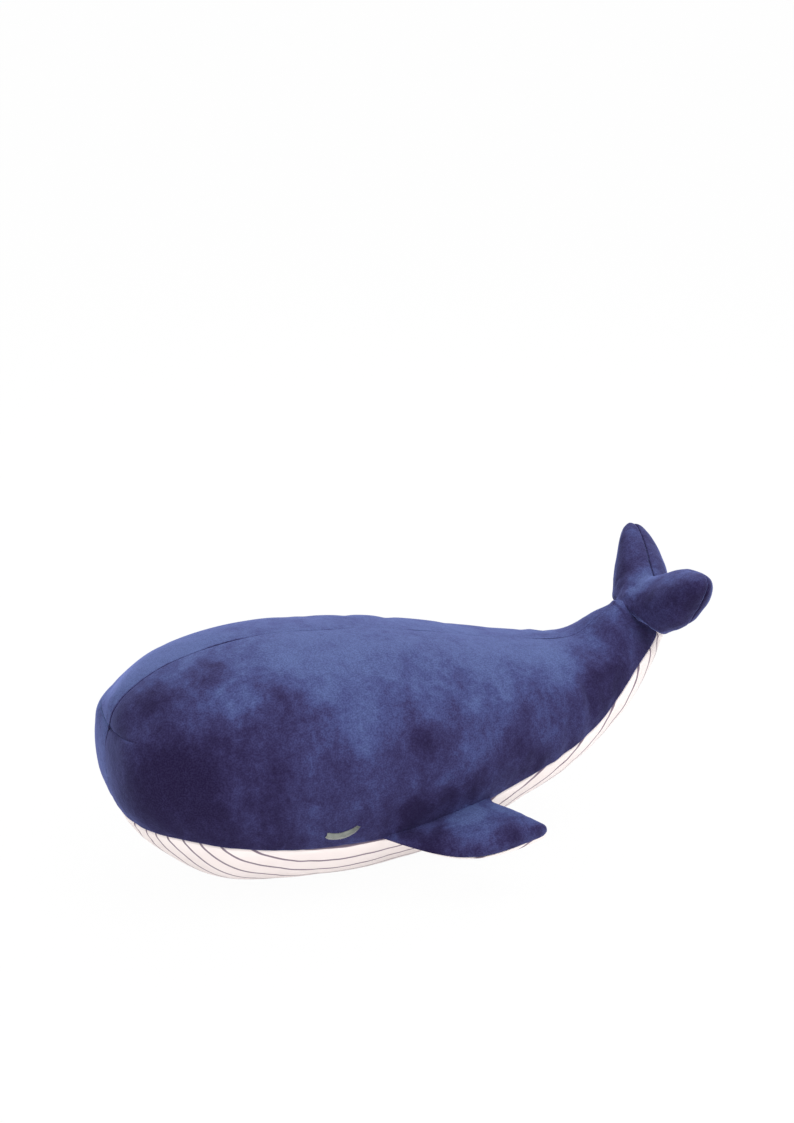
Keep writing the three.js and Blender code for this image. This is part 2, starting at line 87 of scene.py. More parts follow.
# The body's outline at each station: back line x, z, belly line x, z and half width, from the nose, in mm
STATIONS = np.array([
    (0, 108.1, 0, 108.1, 0),
    (0, 135.9, 3.1, 85.9, 38.3),
    (9.3, 165.0, 16.5, 61.2, 68.0),
    (33.5, 187.4, 40.8, 36.3, 87.4),
    (66.6, 201.7, 71.7, 15.2, 104.9),
    (109.4, 210.4, 112.5, 2.1, 114.9),
    (160.5, 211.0, 162.5, -0.55, 118.0),
    (246.6, 201.3, 248.7, -0.55, 112.5),
    (335.4, 181.2, 341.6, 28.1, 91.7),
    (393.7, 169.4, 406.1, 54.4, 73.8),
    (428.8, 167.7, 463.4, 91.6, 52.4),
    (448.9, 179.6, 497.4, 125.5, 34.7),
    (469.0, 192.4, 516.0, 156.6, 21.2),
]) * MM
LAST = len(STATIONS) - 1
SECTION_POWER = 2.25

# The seam between velvet and jersey on the side view, x and z from the nose, in mm
BELLY_SEAM = np.array([
    (0, 77.2), (49, 73.9), (129, 63.1), (209, 58.9), (299.3, 69.0), (379.8, 88.0),
    (444.8, 119.2), (479.9, 144.3), (516, 170.1),
]) * MM

# Where the rows of a cloth piece lie near a seam, and between the seams, in mm from the seam
ROWS_BY_SEAM = (0, 0.35, 0.9, 1.8, 3.0, 5.0, 8.0)
ROW_STEP = 4.6
TAIL_END_LENGTH = 5.2 * MM
# The last rows past the tail's flat end, in mm: rolled in to the root seam, and then tucked into the fluke
END_ROWS = (1.7, 3.0, 3.9, 4.6, 5.0, 5.2, 6.6, 9.4)
TUCK_SLOPE = 0.8
SEAM_ROLL = 2.6 * MM
BACK_SEAM_ROLL = 0.8 * MM
SEAM_DIP = 0.7 * MM
BACK_SEAM_DIP = 0.3 * MM
SEAM_DIP_REACH = 14 * MM
BACK_GATHERS = 0.5 * MM
BELLY_GATHERS = 1.3 * MM
CLOTH_THICKNESS = 1.4 * MM
# The back seam fades between these places from the nose, and on the nose below the dart
BACK_SEAM_FADE = (150 * MM, 250 * MM)
FADED_SHARE = 0.4
NOSE_FADED_SHARE = 0.35
NOSE_LENGTH = 80 * MM
# Where the belly's cloth sags: places from the nose, and how far each sag reaches
BELLY_SAG = 3.2 * MM
BELLY_SAGS = ((112 * MM, 34 * MM), (222 * MM, 46 * MM))

# Folds on a bow round the tail's bend: place behind the bow, width and depth, and at which heights they lie
FOLD_BOW_X = 404 * MM
FOLD_BOW_Z = 132 * MM
FOLD_BOW_REACH = 58 * MM
FOLD_BOW_DEPTH = 9 * MM
FOLDS = ((0, 5 * MM, -1.6 * MM), (11 * MM, 6 * MM, 1.5 * MM))
FOLD_HEIGHTS = (140 * MM, 26 * MM)
PLEATS = (-22 * MM, 20 * MM)
PLEAT_HEIGHTS = (108 * MM, 30 * MM)
PLEAT_LENGTH = 3.1 * MM
PLEAT_DEPTH = 0.9 * MM
SLACK_SIZE = 42 * MM
SLACK_DEPTH = 0.9 * MM

# How much further from the middle the stripes run than the cloth lies, in mm: from the nose, further
STRIPE_DRIFT = np.array([
    (8, -28), (16.6, -28), (22, -22.4), (30, -17.4), (41, -14.2), (53, -10.9), (69, -6.7), (92, 0),
    (115, 7), (133, 11.6), (160, 13), (362, 13), (404, 8), (442, 9), (478, 16), (500, 16),
]) * MM
STRIPE_DRIFT_REACH = 54 * MM

# Nose dart
DART_HEIGHT = 149.5 * MM
DART_RISE = 6 * MM
DART_LENGTH = 54 * MM
DART_LINE = 1.4 * MM
DART_DENT = 1.2 * MM
# Swells and hollows round the dart: how far above it and aside each lies, its height, width and depth, in mm
DART_FORMS = np.array([(20, 15, 14, 15, -1.2), (15, 46, 11, 14, 2.4), (-5, 43, 10, 16, -1.9)]) * MM

# Eyes: their bow of satin stitches, and one thread of it
EYE_STATION = 6.055
EYE_ANGLE = radians(106)
EYE_LENGTH = 29 * MM
EYE_SAG = 5.5 * MM
EYE_WIDTH = 6.4 * MM
EYE_TURN = radians(9)
EYE_THREADS = 58
THREAD_HALF_WIDTH = 0.42 * MM
THREAD_HALF_HEIGHT = 0.36 * MM
THREAD_SLANT = 0.35 * MM
THREAD_LOWEST = 0.35 * MM
THREAD_PADDING = 0.75 * MM

# Fins: the root on the body's stations, the form, and how seams and slack shape the cloth
FIN_ROOT = (6.48, 7.62)
FIN_ROOT_DEPTH = 0.3 * MM
FIN_ROOT_RISE = 3.4 * MM
FIN_TUCK_DEPTH = 3.4 * MM
FIN_UNDER_INSET = 8 * MM
FIN_LENGTH = 125.5 * MM
FIN_REACH = 55.3 * MM
FIN_HALF_THICKNESS = 13 * MM
FIN_DROOP = radians(20)
FIN_UNDER_SHARE = 0.7
FIN_ROOT_SHARE = 0.125
FIN_SEAM_WIDTH = 1.6 * MM
FIN_SEAM_DRAW = 1.3 * MM
FIN_GATHERS = 1.1 * MM
FIN_SLACK = 0.9 * MM
# The fin's front and back edge as shares of its length and reach, and how it swells from root to tip
FIN_FRONT = (
    (0, 0), (0.17, 0.42), (0.35, 0.77), (0.535, 0.95), (0.72, 1), (0.9, 0.99), (1, 0.975), (1.05, 0.92),
)
FIN_BACK = ((0.87, 0.12), (0.945, 0.36), (0.995, 0.62), (1.03, 0.81), (1.05, 0.92))
FIN_SWELL = ((0, 0.14), (0.12, 0.52), (0.35, 0.9), (0.55, 1), (0.75, 0.85), (0.9, 0.52), (1, 0))
FIN_TIP_ROWS = (0.925, 0.95, 0.97, 0.985, 0.995, 1)

# Fluke: its root, its tips, how its root seam runs, and how seams and slack shape the cloth
FLUKE_ROOT = 5 * MM
FLUKE_TIP_ALONG = 57 * MM
FLUKE_TIP_ASIDE = 71 * MM
FLUKE_CURL = 12.8 * MM
ROOT_SEAM_BACK = 2.5 * MM
ROOT_SEAM_BOW = 7 * MM
ROOT_SEAM_ROLL = 3.4 * MM
ROOT_SEAM_REACH = 26 * MM
ROOT_CREASE = 2.6 * MM
FLUKE_ASKEW = 0.05
FAR_TIP_LONGER = 3 * MM
FLUKE_DIP = 0.8 * MM
FLUKE_DIP_REACH = 9 * MM
FLUKE_GATHERS = 1 * MM
FLUKE_SLACK = 0.7 * MM
STUB_LENGTH = 20 * MM
# Where the near lobe is fuller or flatter: place from the nose, size and height, in mm
LOBE_SWELLS = ((519, -48, 192.5, 16, 3.4), (509, -24, 178.5, 9, -2))

# Stuffing: its steps in time, and the mesh width of the body's coarse copy and of the fluke
STUFFING_STEPS = 14
BODY_MESH = 5.5 * MM
FLUKE_MESH = 2.4 * MM
# A small step for slopes, on stations, angles and metres
STEP = 1e-3


def spline(places, values):
    """A natural cubic curve through the values, one at each place"""
    places, values = np.asarray(places, float), np.asarray(values, float)
    gaps = np.diff(places)
    slopes = np.diff(values) / gaps
    system = np.eye(len(places))
    right = np.zeros(len(places))
    for i in range(1, len(places) - 1):
        system[i, i - 1:i + 2] = gaps[i - 1], 2 * (gaps[i - 1] + gaps[i]), gaps[i]
        right[i] = 6 * (slopes[i] - slopes[i - 1])
    bends = np.linalg.solve(system, right)

    def at(place):
        place = np.asarray(place, float)
        k = np.clip(np.searchsorted(places, place, side="right") - 1, 0, len(gaps) - 1)
        before = (places[k + 1] - place) / gaps[k]
        after = (place - places[k]) / gaps[k]
        bend = (before ** 3 - before) * bends[k] + (after ** 3 - after) * bends[k + 1]
        return before * values[k] + after * values[k + 1] + bend * gaps[k] ** 2 / 6

    return at


def through_nose(values, sign):
    """A curve over the stations, carried on past the nose as in a mirror, so that the nose is round"""
    mirrored = [sign * values[2], sign * values[1], *values]
    return spline(np.arange(len(mirrored)) - 2, mirrored)


centre_x = through_nose((STATIONS[:, 0] + STATIONS[:, 2]) / 2, 1)
centre_z = through_nose((STATIONS[:, 1] + STATIONS[:, 3]) / 2, 1)
half_x = through_nose((STATIONS[:, 0] - STATIONS[:, 2]) / 2, -1)
half_z = through_nose((STATIONS[:, 1] - STATIONS[:, 3]) / 2, -1)
half_width = through_nose(STATIONS[:, 4], -1)
seam_height = spline(BELLY_SEAM[:, 0], BELLY_SEAM[:, 1])


def form_point(station, angle):
    """The smooth body. The angle runs from the back, 0, over the left side to the belly, pi."""
    station, angle = np.broadcast_arrays(np.asarray(station, float), np.asarray(angle, float))
    up, out = np.cos(angle), np.sin(angle)
    radius = (abs(up) ** SECTION_POWER + abs(out) ** SECTION_POWER) ** (-1 / SECTION_POWER)
    return np.stack([
        NOSE_X + centre_x(station) + half_x(station) * radius * up,
        -half_width(station) * radius * out,
        centre_z(station) + half_z(station) * radius * up,
    ], axis=-1)


def rising(distance, reach):
    """0 below zero, 1 past the reach and even in between"""
    return np.clip(distance / reach, 0, 1)


def fading(distance, reach):
    """1 below zero, 0 past the reach and even in between"""
    return np.clip(1 - distance / reach, 0, 1)


def eased(share):
    return share ** 2 * (3 - 2 * share)


def bump(value, middle, width):
    return np.exp(-(((value - middle) / width) ** 2))


def unit(vectors):
    return vectors / np.maximum(np.linalg.norm(vectors, axis=-1, keepdims=True), 1e-12)


def form_normal(station, angle):
    station, angle = np.maximum(station, 0.03), np.asarray(angle)
    along = form_point(station + STEP, angle) - form_point(station - STEP, angle)
    around = form_point(station, angle + STEP) - form_point(station, angle - STEP)
    return unit(np.cross(around, along))


def above_seam(points):
    return points[..., 2] - seam_height(points[..., 0] - NOSE_X)


def steepness(rise, normals):
    """How fast a height grows in the surface, from how it grows in space"""
    flat = rise - normals * np.sum(rise * normals, axis=-1, keepdims=True)
    return np.linalg.norm(flat, axis=-1)


def across_seam(points, normals):
    """How fast the height over the belly seam grows in the cloth, square to the seam"""
    x = points[..., 0] - NOSE_X
    slope = (seam_height(x + STEP) - seam_height(x - STEP)) / (2 * STEP)
    rise = np.stack([-slope, np.zeros_like(slope), np.ones_like(slope)], axis=-1)
    return steepness(rise, normals)


def turning_place(low, high, test):
    for _ in range(40):
        middle = (low + high) / 2
        low, high = (middle, high) if test(middle) else (low, middle)
    return (low + high) / 2


CHIN = turning_place(0, LAST / 2, lambda s: above_seam(form_point(s, pi)) > 0)


def seam_angle(station):
    if station <= CHIN:
        return pi
    return turning_place(pi / 3, pi, lambda a: above_seam(form_point(station, a)) > 0)


def crowded(length, count):
    """Places along a length, even in the middle and close together at both ends"""
    edge = np.array(ROWS_BY_SEAM) * MM * min(1, length / (60 * MM))
    middle = np.linspace(edge[-1], length - edge[-1], count)
    return np.concatenate([edge[:-1], middle, (length - edge[::-1])[1:]])


def ring_angles(station, start, end, count):
    """Angles round a ring at even ways along the cloth"""
    angles = np.linspace(start, end, 241)
    points = form_point(station, angles)
    ways = np.concatenate([[0], np.cumsum(np.linalg.norm(np.diff(points, axis=0), axis=1))])
    if ways[-1] < 1e-9:
        return np.linspace(start, end, len(crowded(1, count)))
    return np.interp(crowded(ways[-1], count), ways, angles)


def ring_stations():
    """Rings at even ways along the longest of the back, the belly and the seam"""
    samples = np.concatenate([np.linspace(0, CHIN, 200), np.linspace(CHIN, LAST, 1800)[1:]])
    seam = np.array([form_point(s, seam_angle(s)) for s in samples])
    lines = [form_point(samples, 0), form_point(samples, pi), seam]
    steps = np.max([np.linalg.norm(np.diff(line, axis=0), axis=1) for line in lines], axis=0)
    ways = np.concatenate([[0], np.cumsum(steps)])
    chin_way = np.interp(CHIN, samples, ways)
    head = np.linspace(0, chin_way, int(chin_way / (ROW_STEP * MM)) + 1)
    rest = np.linspace(chin_way, ways[-1], int((ways[-1] - chin_way) / (ROW_STEP * MM)))
    return np.concatenate([np.interp(head[:-1], ways, samples), np.interp(rest, ways, samples)])


RINGS = ring_stations()
HEAD_RINGS = int(np.argmin(abs(RINGS - CHIN)))
RINGS[HEAD_RINGS] = CHIN
SEAM_ANGLES = np.array([seam_angle(s) for s in RINGS])
SIDE_ROWS = 44
BELLY_ROWS = 50


def tail_frame():
    """The tail's end: its centre, the way up, the way along and how far it reaches from the centre"""
    centre = np.array([NOSE_X + centre_x(LAST), 0, centre_z(LAST)])
    up = np.array([half_x(LAST), 0, half_z(LAST)])
    reach = np.linalg.norm(up)
    up = up / reach
    return centre, up, np.cross((0, 1, 0), up), reach


TAIL_CENTRE, TAIL_UP, TAIL_ALONG, TAIL_REACH = tail_frame()
FLUKE_SEAM = TAIL_CENTRE + TAIL_ALONG * TAIL_END_LENGTH


def root_aside(points):
    """How far aside on the fluke's root seam: 0 in its middle and 1 at its ends"""
    return np.minimum(1, (points[..., 1] / half_width(LAST)) ** 2)


def root_seam_shift(points):
    """How far along the tail the fluke's root seam lies from the flat end of the body"""
    return -ROOT_SEAM_BACK - ROOT_SEAM_BOW * root_aside(points)


def roll(distance, radius):
    """How deep the cloth lies where it turns in to its seam"""
    inside = np.clip(radius - distance, 0, radius)
    return radius - np.sqrt(radius ** 2 - inside ** 2)


def ripple(points, size, seed):
    """Smooth uneven waves from -1 to 1"""
    flat = points.reshape(-1, 3) / size
    shift = Vector((seed * 7.3, seed * 3.1, seed * 5.7))
    values = [noise.noise(Vector(p) + shift) for p in flat]
    return np.array(values).reshape(points.shape[:-1])


def gathers(points, to_seam, size, reach, start, seed):
    """Small waves beside a seam: they start a little away from it and die out over their reach"""
    return ripple(points, size, seed) * np.exp(-to_seam / reach) * (1 - np.exp(-to_seam / start))


def cloth_depth(points, normals, to_back, seed):
    """How far the cloth lies under the smooth form: rolled seams, their dips and gathers, and folds"""
    to_belly = abs(above_seam(points)) / across_seam(points, normals)
    nearest = np.maximum(np.minimum(to_belly, to_back), 0)
    x = points[..., 0] - NOSE_X
    faint = np.interp(x, BACK_SEAM_FADE, (1, FADED_SHARE))
    faint = np.where((x < NOSE_LENGTH) & (points[..., 2] < DART_HEIGHT - 3 * MM), NOSE_FADED_SHARE, faint)
    depth = np.maximum(roll(to_belly, SEAM_ROLL), roll(to_back, BACK_SEAM_ROLL * faint))
    dip = np.where(to_back < to_belly, BACK_SEAM_DIP, SEAM_DIP)
    depth = depth + dip * fading(nearest, SEAM_DIP_REACH) ** 2
    sag = BELLY_SAG * sum(bump(x, place, reach) for place, reach in BELLY_SAGS)
    lifted = rising(points[..., 2], 7 * MM) * rising(to_belly, 25 * MM)
    depth = depth + np.where(above_seam(points) < 0, sag, 0) * lifted
    strength = np.where(to_back < to_belly, BACK_GATHERS, BELLY_GATHERS)
    depth = depth + strength * gathers(points, nearest, 9 * MM, 11 * MM, 2 * MM, seed)
    return depth + fold_depth(points, seed)


def fold_depth(points, seed):
    """Folds where the tail bends up, and slack in the cloth"""
    x, y, z = points[..., 0] - NOSE_X, abs(points[..., 1]), points[..., 2]
    behind = x - FOLD_BOW_X + ((z - FOLD_BOW_Z) / FOLD_BOW_REACH) ** 2 * FOLD_BOW_DEPTH
    folds = sum(depth * bump(behind, place, width) for place, width, depth in FOLDS)
    waves = np.sin(behind / PLEAT_LENGTH + 1.6 * ripple(points, 30 * MM, seed + 17))
    pleats = PLEAT_DEPTH * waves * bump(behind, *PLEATS)
    side = rising(y - 12 * MM, 30 * MM)
    slack = SLACK_DEPTH * ripple(points * (1, 1, 0.8), SLACK_SIZE, seed + 11)
    return side * (folds * bump(z, *FOLD_HEIGHTS) + pleats * bump(z, *PLEAT_HEIGHTS)) + slack


def dart_depth(points):
    """The tuck on each side of the nose: a narrow line in a dent, under a small swell"""
    x, y, z = points[..., 0] - NOSE_X, abs(points[..., 1]), points[..., 2]
    above = z - (DART_HEIGHT + DART_RISE * y / DART_LENGTH)
    line = DART_LINE * rising(DART_LENGTH - y, 14 * MM) * np.exp(-abs(above) / (0.6 * MM))
    dent = DART_DENT * fading(y, DART_LENGTH) ** 0.8 * bump(above, 0, 6 * MM)
    forms = 0
    for rise, aside, height, width, depth in DART_FORMS:
        forms = forms + depth * bump(above, rise, height) * bump(y, aside, width)
    return rising(70 * MM - x, 30 * MM) * (line + dent + forms)


def with_end_rows(placed, normals):
    """The cloth with its last rows, rolled in to the fluke's root seam and tucked into the fluke"""
    last = placed[-1]
    square = unit(normals[-1] - np.outer(normals[-1] @ TAIL_ALONG, TAIL_ALONG))
    for way in np.array(END_ROWS) * MM:
        deep = roll(max(TAIL_END_LENGTH - way, 0), SEAM_ROLL) + TUCK_SLOPE * max(way - TAIL_END_LENGTH, 0)
        placed = np.concatenate([placed, (last + TAIL_ALONG * way - square * deep)[None]])
        normals = np.concatenate([normals, square[None]])
    return placed, normals


def body_grid(angles, stations, side, seed):
    """Points of a body cloth at every ring and row"""
    points = form_point(stations, angles)
    normals = form_normal(stations, angles)
    to_back = np.where(above_seam(points) > -1e-6, abs(points[..., 1]), 1)
    depth = cloth_depth(points, normals, to_back, seed)
    placed, normals = with_end_rows(points - normals * depth[..., None], normals)
    along = (placed - TAIL_CENTRE) @ TAIL_ALONG - TAIL_END_LENGTH
    crease = ROOT_CREASE * root_aside(placed) * np.exp(np.minimum(along, 0) / (5 * MM))
    shift = root_seam_shift(placed) * eased(fading(-along, ROOT_SEAM_REACH))
    placed = placed + shift[..., None] * TAIL_ALONG - normals * crease[..., None]
    placed[..., 1] *= -side
    placed[..., 2] = np.maximum(placed[..., 2], 0)
    return placed


# Meshes

def deselect_all():
    if bpy.context.mode != "OBJECT":
        bpy.ops.object.mode_set(mode="OBJECT")
    bpy.ops.object.select_all(action="DESELECT")


def choose(*pieces):
    deselect_all()
    for piece in pieces:
        piece.select_set(True)
    bpy.context.view_layer.objects.active = pieces[0]


def places_of(piece):
    return np.array([v.co for v in piece.data.vertices]).reshape(-1, 3)


def put(piece, points):
    piece.data.vertices.foreach_set("co", np.asarray(points, np.float32).ravel())
    piece.data.update()


def in_edit(piece, *steps):
    choose(piece)
    bpy.ops.object.mode_set(mode="EDIT")
    bpy.ops.mesh.select_all(action="SELECT")
    for step in steps:
        step()
    bpy.ops.object.mode_set(mode="OBJECT")


def merge(piece, distance=0.02 * MM):
    in_edit(piece, lambda: bpy.ops.mesh.remove_doubles(threshold=distance))


def apply_modifiers(piece):
    choose(piece)
    for modifier in list(piece.modifiers):
        bpy.ops.object.modifier_apply(modifier=modifier.name)


def cloth_sheet(name, grid, drift=None):
    """A sheet over the grid's points. Its UV map holds the ways along and across the cloth, in metres."""
    rows, columns = grid.shape[:2]
    deselect_all()
    bpy.ops.mesh.primitive_grid_add(x_subdivisions=rows - 1, y_subdivisions=columns - 1, size=2)
    sheet = bpy.context.object
    sheet.name = sheet.data.name = name
    flat = places_of(sheet)
    i = np.rint((flat[:, 0] + 1) / 2 * (rows - 1)).astype(int)
    j = np.rint((flat[:, 1] + 1) / 2 * (columns - 1)).astype(int)
    put(sheet, grid[i, j])
    steps = np.linalg.norm(np.diff(grid, axis=0), axis=2)
    along = np.concatenate([np.zeros((1, columns)), np.cumsum(steps, axis=0)])
    across = np.linalg.norm(np.diff(grid, axis=1), axis=2)
    across = np.concatenate([np.zeros((rows, 1)), np.cumsum(across, axis=1)], axis=1)
    across = across - across[:, columns // 2:columns // 2 + 1]
    if drift is not None:
        drawn = np.interp(grid[..., 0] - NOSE_X, *drift.T)
        across = across + drawn * np.sin(pi / 2 * np.clip(across / STRIPE_DRIFT_REACH, -1, 1))
    corners = np.array([loop.vertex_index for loop in sheet.data.loops])
    uv = np.stack([along.mean(axis=1)[i][corners], across[i, j][corners]], axis=1)
    layer = sheet.data.uv_layers[0]
    layer.data.foreach_set("uv", uv.astype(np.float32).ravel())
    return sheet


def outward(piece):
    in_edit(piece, lambda: bpy.ops.mesh.normals_make_consistent(inside=False))


def face_away(piece, point):
    """Turns the faces of an open sheet away from the point"""
    piece.data.update()
    total = sum((Vector(f.center) - Vector(point)).dot(f.normal) * f.area for f in piece.data.polygons)
    if total < 0:
        in_edit(piece, lambda: bpy.ops.mesh.flip_normals())


def smooth(piece):
    choose(piece)
    bpy.ops.object.shade_smooth()


def thicken(piece):
    """One step finer, and then given the cloth's thickness inwards"""
    finer = piece.modifiers.new("finer", "SUBSURF")
    finer.levels = finer.render_levels = 1
    wall = piece.modifiers.new("thickness", "SOLIDIFY")
    wall.thickness = CLOTH_THICKNESS
    wall.offset = -1
    apply_modifiers(piece)
    smooth(piece)


# Shader maths

class Socket:
    """A node's output that takes part in sums"""

    def __init__(self, tree, link):
        self.tree, self.link = tree, link

    def math(self, operation, *others):
        return calculate(self.tree, operation, self, *others)

    def __add__(self, other):
        return self.math("ADD", other)

    def __sub__(self, other):
        return self.math("SUBTRACT", other)

    def __rsub__(self, other):
        return calculate(self.tree, "SUBTRACT", other, self)

    def __mul__(self, other):
        return self.math("MULTIPLY", other)

    def __truediv__(self, other):
        return self.math("DIVIDE", other)

    __radd__, __rmul__ = __add__, __mul__


def plug(socket, value):
    if isinstance(value, Socket):
        value.tree.links.new(value.link, socket)
    else:
        socket.default_value = value


def make_node(tree, kind, settings=None, inputs=None):
    """A node: first its settings, a ramp's stops among them, then the values or links of its sockets"""
    made = tree.nodes.new(kind)
    for key, value in (settings or {}).items():
        if key == "stops":
            set_stops(made.color_ramp, value)
        else:
            setattr(made, key, value)
    for key, value in (inputs or {}).items():
        plug(made.inputs[key], value)
    return made


def set_stops(band, stops):
    while len(band.elements) < len(stops):
        band.elements.new(0.5)
    for element, (place, color) in zip(band.elements, stops):
        element.position = place
        element.color = (*color, 1)


def calculate(tree, operation, *values):
    made = make_node(tree, "ShaderNodeMath", {"operation": operation}, dict(enumerate(values)))
    return Socket(tree, made.outputs[0])


class Finish:
    """A material that is built from its nodes"""

    def __init__(self, name, color, roughness):
        self.material = bpy.data.materials.new(name)
        self.material.use_nodes = True
        self.material.diffuse_color = (*color, 1)
        self.tree = self.material.node_tree
        self.shader = self.tree.nodes["Principled BSDF"]
        self.set("Base Color", (*color, 1))
        self.set("Roughness", roughness)

    def set(self, socket, value):
        plug(self.shader.inputs[socket], value)

    def node(self, kind, output, settings=None, inputs=None):
        return Socket(self.tree, make_node(self.tree, kind, settings, inputs).outputs[output])

    def places(self):
        return self.node("ShaderNodeTexCoord", "Object")

    def parts(self, vector):
        """The three numbers of a vector"""
        made = make_node(self.tree, "ShaderNodeSeparateXYZ", None, {0: vector})
        return [Socket(self.tree, output) for output in made.outputs]

    def noise(self, where, scale, detail=2.0, roughness=0.5, distortion=0.0, output="Fac"):
        return self.node("ShaderNodeTexNoise", output, None, {
            "Vector": where, "Scale": scale, "Detail": detail, "Roughness": roughness,
            "Distortion": distortion,
        })

    def vector(self, operation, output, *inputs):
        return self.node("ShaderNodeVectorMath", output, {"operation": operation}, dict(enumerate(inputs)))

    def stretched(self, where, scale, turn=(0, 0, 0)):
        inputs = {"Vector": where, "Scale": scale, "Rotation": turn}
        return self.node("ShaderNodeMapping", "Vector", None, inputs)

    def ramp(self, value, *stops):
        return self.node("ShaderNodeValToRGB", "Color", {"stops": stops}, {0: value})

    def between(self, value, low, high):
        """0 below low, 1 above high and smooth in between"""
        return self.node("ShaderNodeMapRange", "Result", {"interpolation_type": "SMOOTHSTEP"}, {
            "Value": value, "From Min": low, "From Max": high,
        })

    def mix(self, share, one, other):
        one, other = (color if isinstance(color, Socket) else (*color, 1) for color in (one, other))
        return self.node("ShaderNodeMix", 2, {"data_type": "RGBA"}, {0: share, 6: one, 7: other})

    def raise_by(self, height, distance, strength=1.0):
        self.set("Normal", self.node("ShaderNodeBump", "Normal", None, {
            "Height": height, "Distance": distance, "Strength": strength,
        }))


# Marks of a hand in the pile: place from the nose, size, and how far it leans out or in, lengths in mm
# Round the left fin's root: dark marks above it are painted shadow, pale ones along it a painted highlight
PILE_MARKS_AND_PAINTED_LIGHT = (
    (78, -42, 198, 22, -0.2), (32, -34, 181, 17, -0.16), (36, -83, 138, 44, -0.12),
    (133, -79, 188, 24, -0.19), (248, -106, 140, 20, -0.14), (352, -87, 92, 26, -0.16),
    (435, -51, 145, 32, -0.14), (508, -67, 216, 24, -0.14), (244, -130, 60, 16, -0.26),
    (301, -144, 65, 18, -0.22), (225, -118, 68, 12, -0.16), (234, -111, 83, 14, -0.18),
    (262, -108, 88, 15, -0.2), (288, -103, 94, 15, -0.2), (181, -104, 157, 30, 0.12),
    (309, -87, 146, 30, 0.1), (393, -38, 163, 26, 0.14), (497, -2, 211, 20, 0.2),
    (262, -116, 62, 12, 0.2), (282, -114, 66, 15, 0.28), (304, -112, 70, 15, 0.26),
    (319, -129, 70, 14, 0.2), (85, -71, 186, 22, 0.12), (500, 40, 205, 40, -0.12),
    (521, 75, 220, 30, -0.1),
)
# How far a mark reaches in full and at all, in its own size, and how far the pile's waves shift its edge
MARK_CORE = 0.15
MARK_REACH = 1.3
MARK_WAVES = 0.04


def velvet():
    """Short pile brushed this way and that: dark where it leans in, pale where it leans out; painted light
    mixed in
    """
    finish = Finish("blue_velvet", (0.035, 0.045, 0.17), 0.85)
    where = finish.places()
    x, y, z = finish.parts(where)
    clouds = finish.noise(finish.stretched(where, (1, 1, 0.8)), 17, 6, 0.66, 0.3)
    strokes = finish.noise(finish.stretched(where, (1.8, 1.4, 1), (0.2, 0.3, 0.3)), 30, 5, 0.66, 0.6)
    patches = finish.noise(where, 46, 3, 0.6, 0.4)
    tufts = finish.noise(where, 180, 2, 0.65)
    pile = finish.noise(where, 800, 1, 0.5)

    body = 1 - finish.between(x, 0.12, 0.22)
    # Painted light: velvet high up, facing up or along the back is made lighter, as if lit from above
    high = finish.between(z, 0.065, 0.17) * (0.3 + 0.7 * body)
    level = finish.parts(finish.node("ShaderNodeNewGeometry", "Normal"))[2]
    top = finish.between(level, 0.5, 1.0)
    back = finish.between(x, -0.26, 0.0) * high
    # Painted sheen, with the far panel's pile lying the other way: the far side's strip at the nose is
    # lighter
    far = finish.between(y, -0.001, 0.003) * body
    nose = 1 - finish.between(x, -0.26, -0.11)

    # The sum: the pile's random lean plus the painted light; darker towards the nose and the tail
    lean_and_light = clouds * 0.52 + strokes * 0.36 + patches * 0.24 + tufts * 0.2 + pile * 0.08
    lean_and_light = lean_and_light + level * high * 0.12 + top * 0.14 + back * 0.05
    lean_and_light = lean_and_light + far * nose * 0.33 - nose * 0.13 - (1 - body) * 0.05
    waves = finish.noise(where, 34, 4, 0.6, output="Color")
    waved = finish.vector("MULTIPLY_ADD", "Vector", waves, (MARK_WAVES,) * 3, where)
    # Each mark adds the pile's lean; those round the fin's root add painted shadow and highlight
    for ahead, aside, up, size, strength in PILE_MARKS_AND_PAINTED_LIGHT:
        place = np.array((ahead, aside, up)) * MM + (NOSE_X, 0, 0) + MARK_WAVES / 2
        apart = finish.vector("DISTANCE", "Value", waved, tuple(place))
        mark = 1 - finish.between(apart, MARK_CORE * size * MM, MARK_REACH * size * MM)
        lean_and_light = lean_and_light + mark * strength
    lean_and_light = finish.between(lean_and_light, 0.45, 1.14)

    color = finish.ramp(
        lean_and_light,
        (0.0, (0.011, 0.005, 0.032)),
        (0.2, (0.023, 0.017, 0.067)),
        (0.45, (0.036, 0.034, 0.112)),
        (0.7, (0.052, 0.063, 0.183)),
        (1.0, (0.082, 0.114, 0.272)),
    )
    speck = finish.between(pile, 0.35, 0.65)
    between_tufts = finish.mix(0.35, color, (0.008, 0.006, 0.03))
    color = finish.mix(speck * 0.75, between_tufts, color)
    finish.set("Base Color", finish.mix(speck * 0.05, color, (0.11, 0.13, 0.27)))
    finish.set("Roughness", 0.92 - lean_and_light * 0.12)
    finish.set("Sheen Weight", 0.6)
    finish.set("Sheen Roughness", 0.35)
    finish.set("Sheen Tint", (0.24, 0.3, 0.74, 1))
    finish.set("Specular IOR Level", 0.12)
    finish.raise_by(pile * 0.5 + tufts * 1.2 + strokes * 1.2, 0.5 * MM, 0.6)
    return finish.material


# Stripes of the jersey: repeat, line, and where the first one lies
STRIPE_PITCH = 16.8 * MM
STRIPE_WIDTH = 2.45 * MM
STRIPE_PLACE = 13.3 * MM
STRIPE_WANDER = 0.9 * MM
RIB_WIDTH = 1.1 * MM
COURSE_HEIGHT = 0.9 * MM


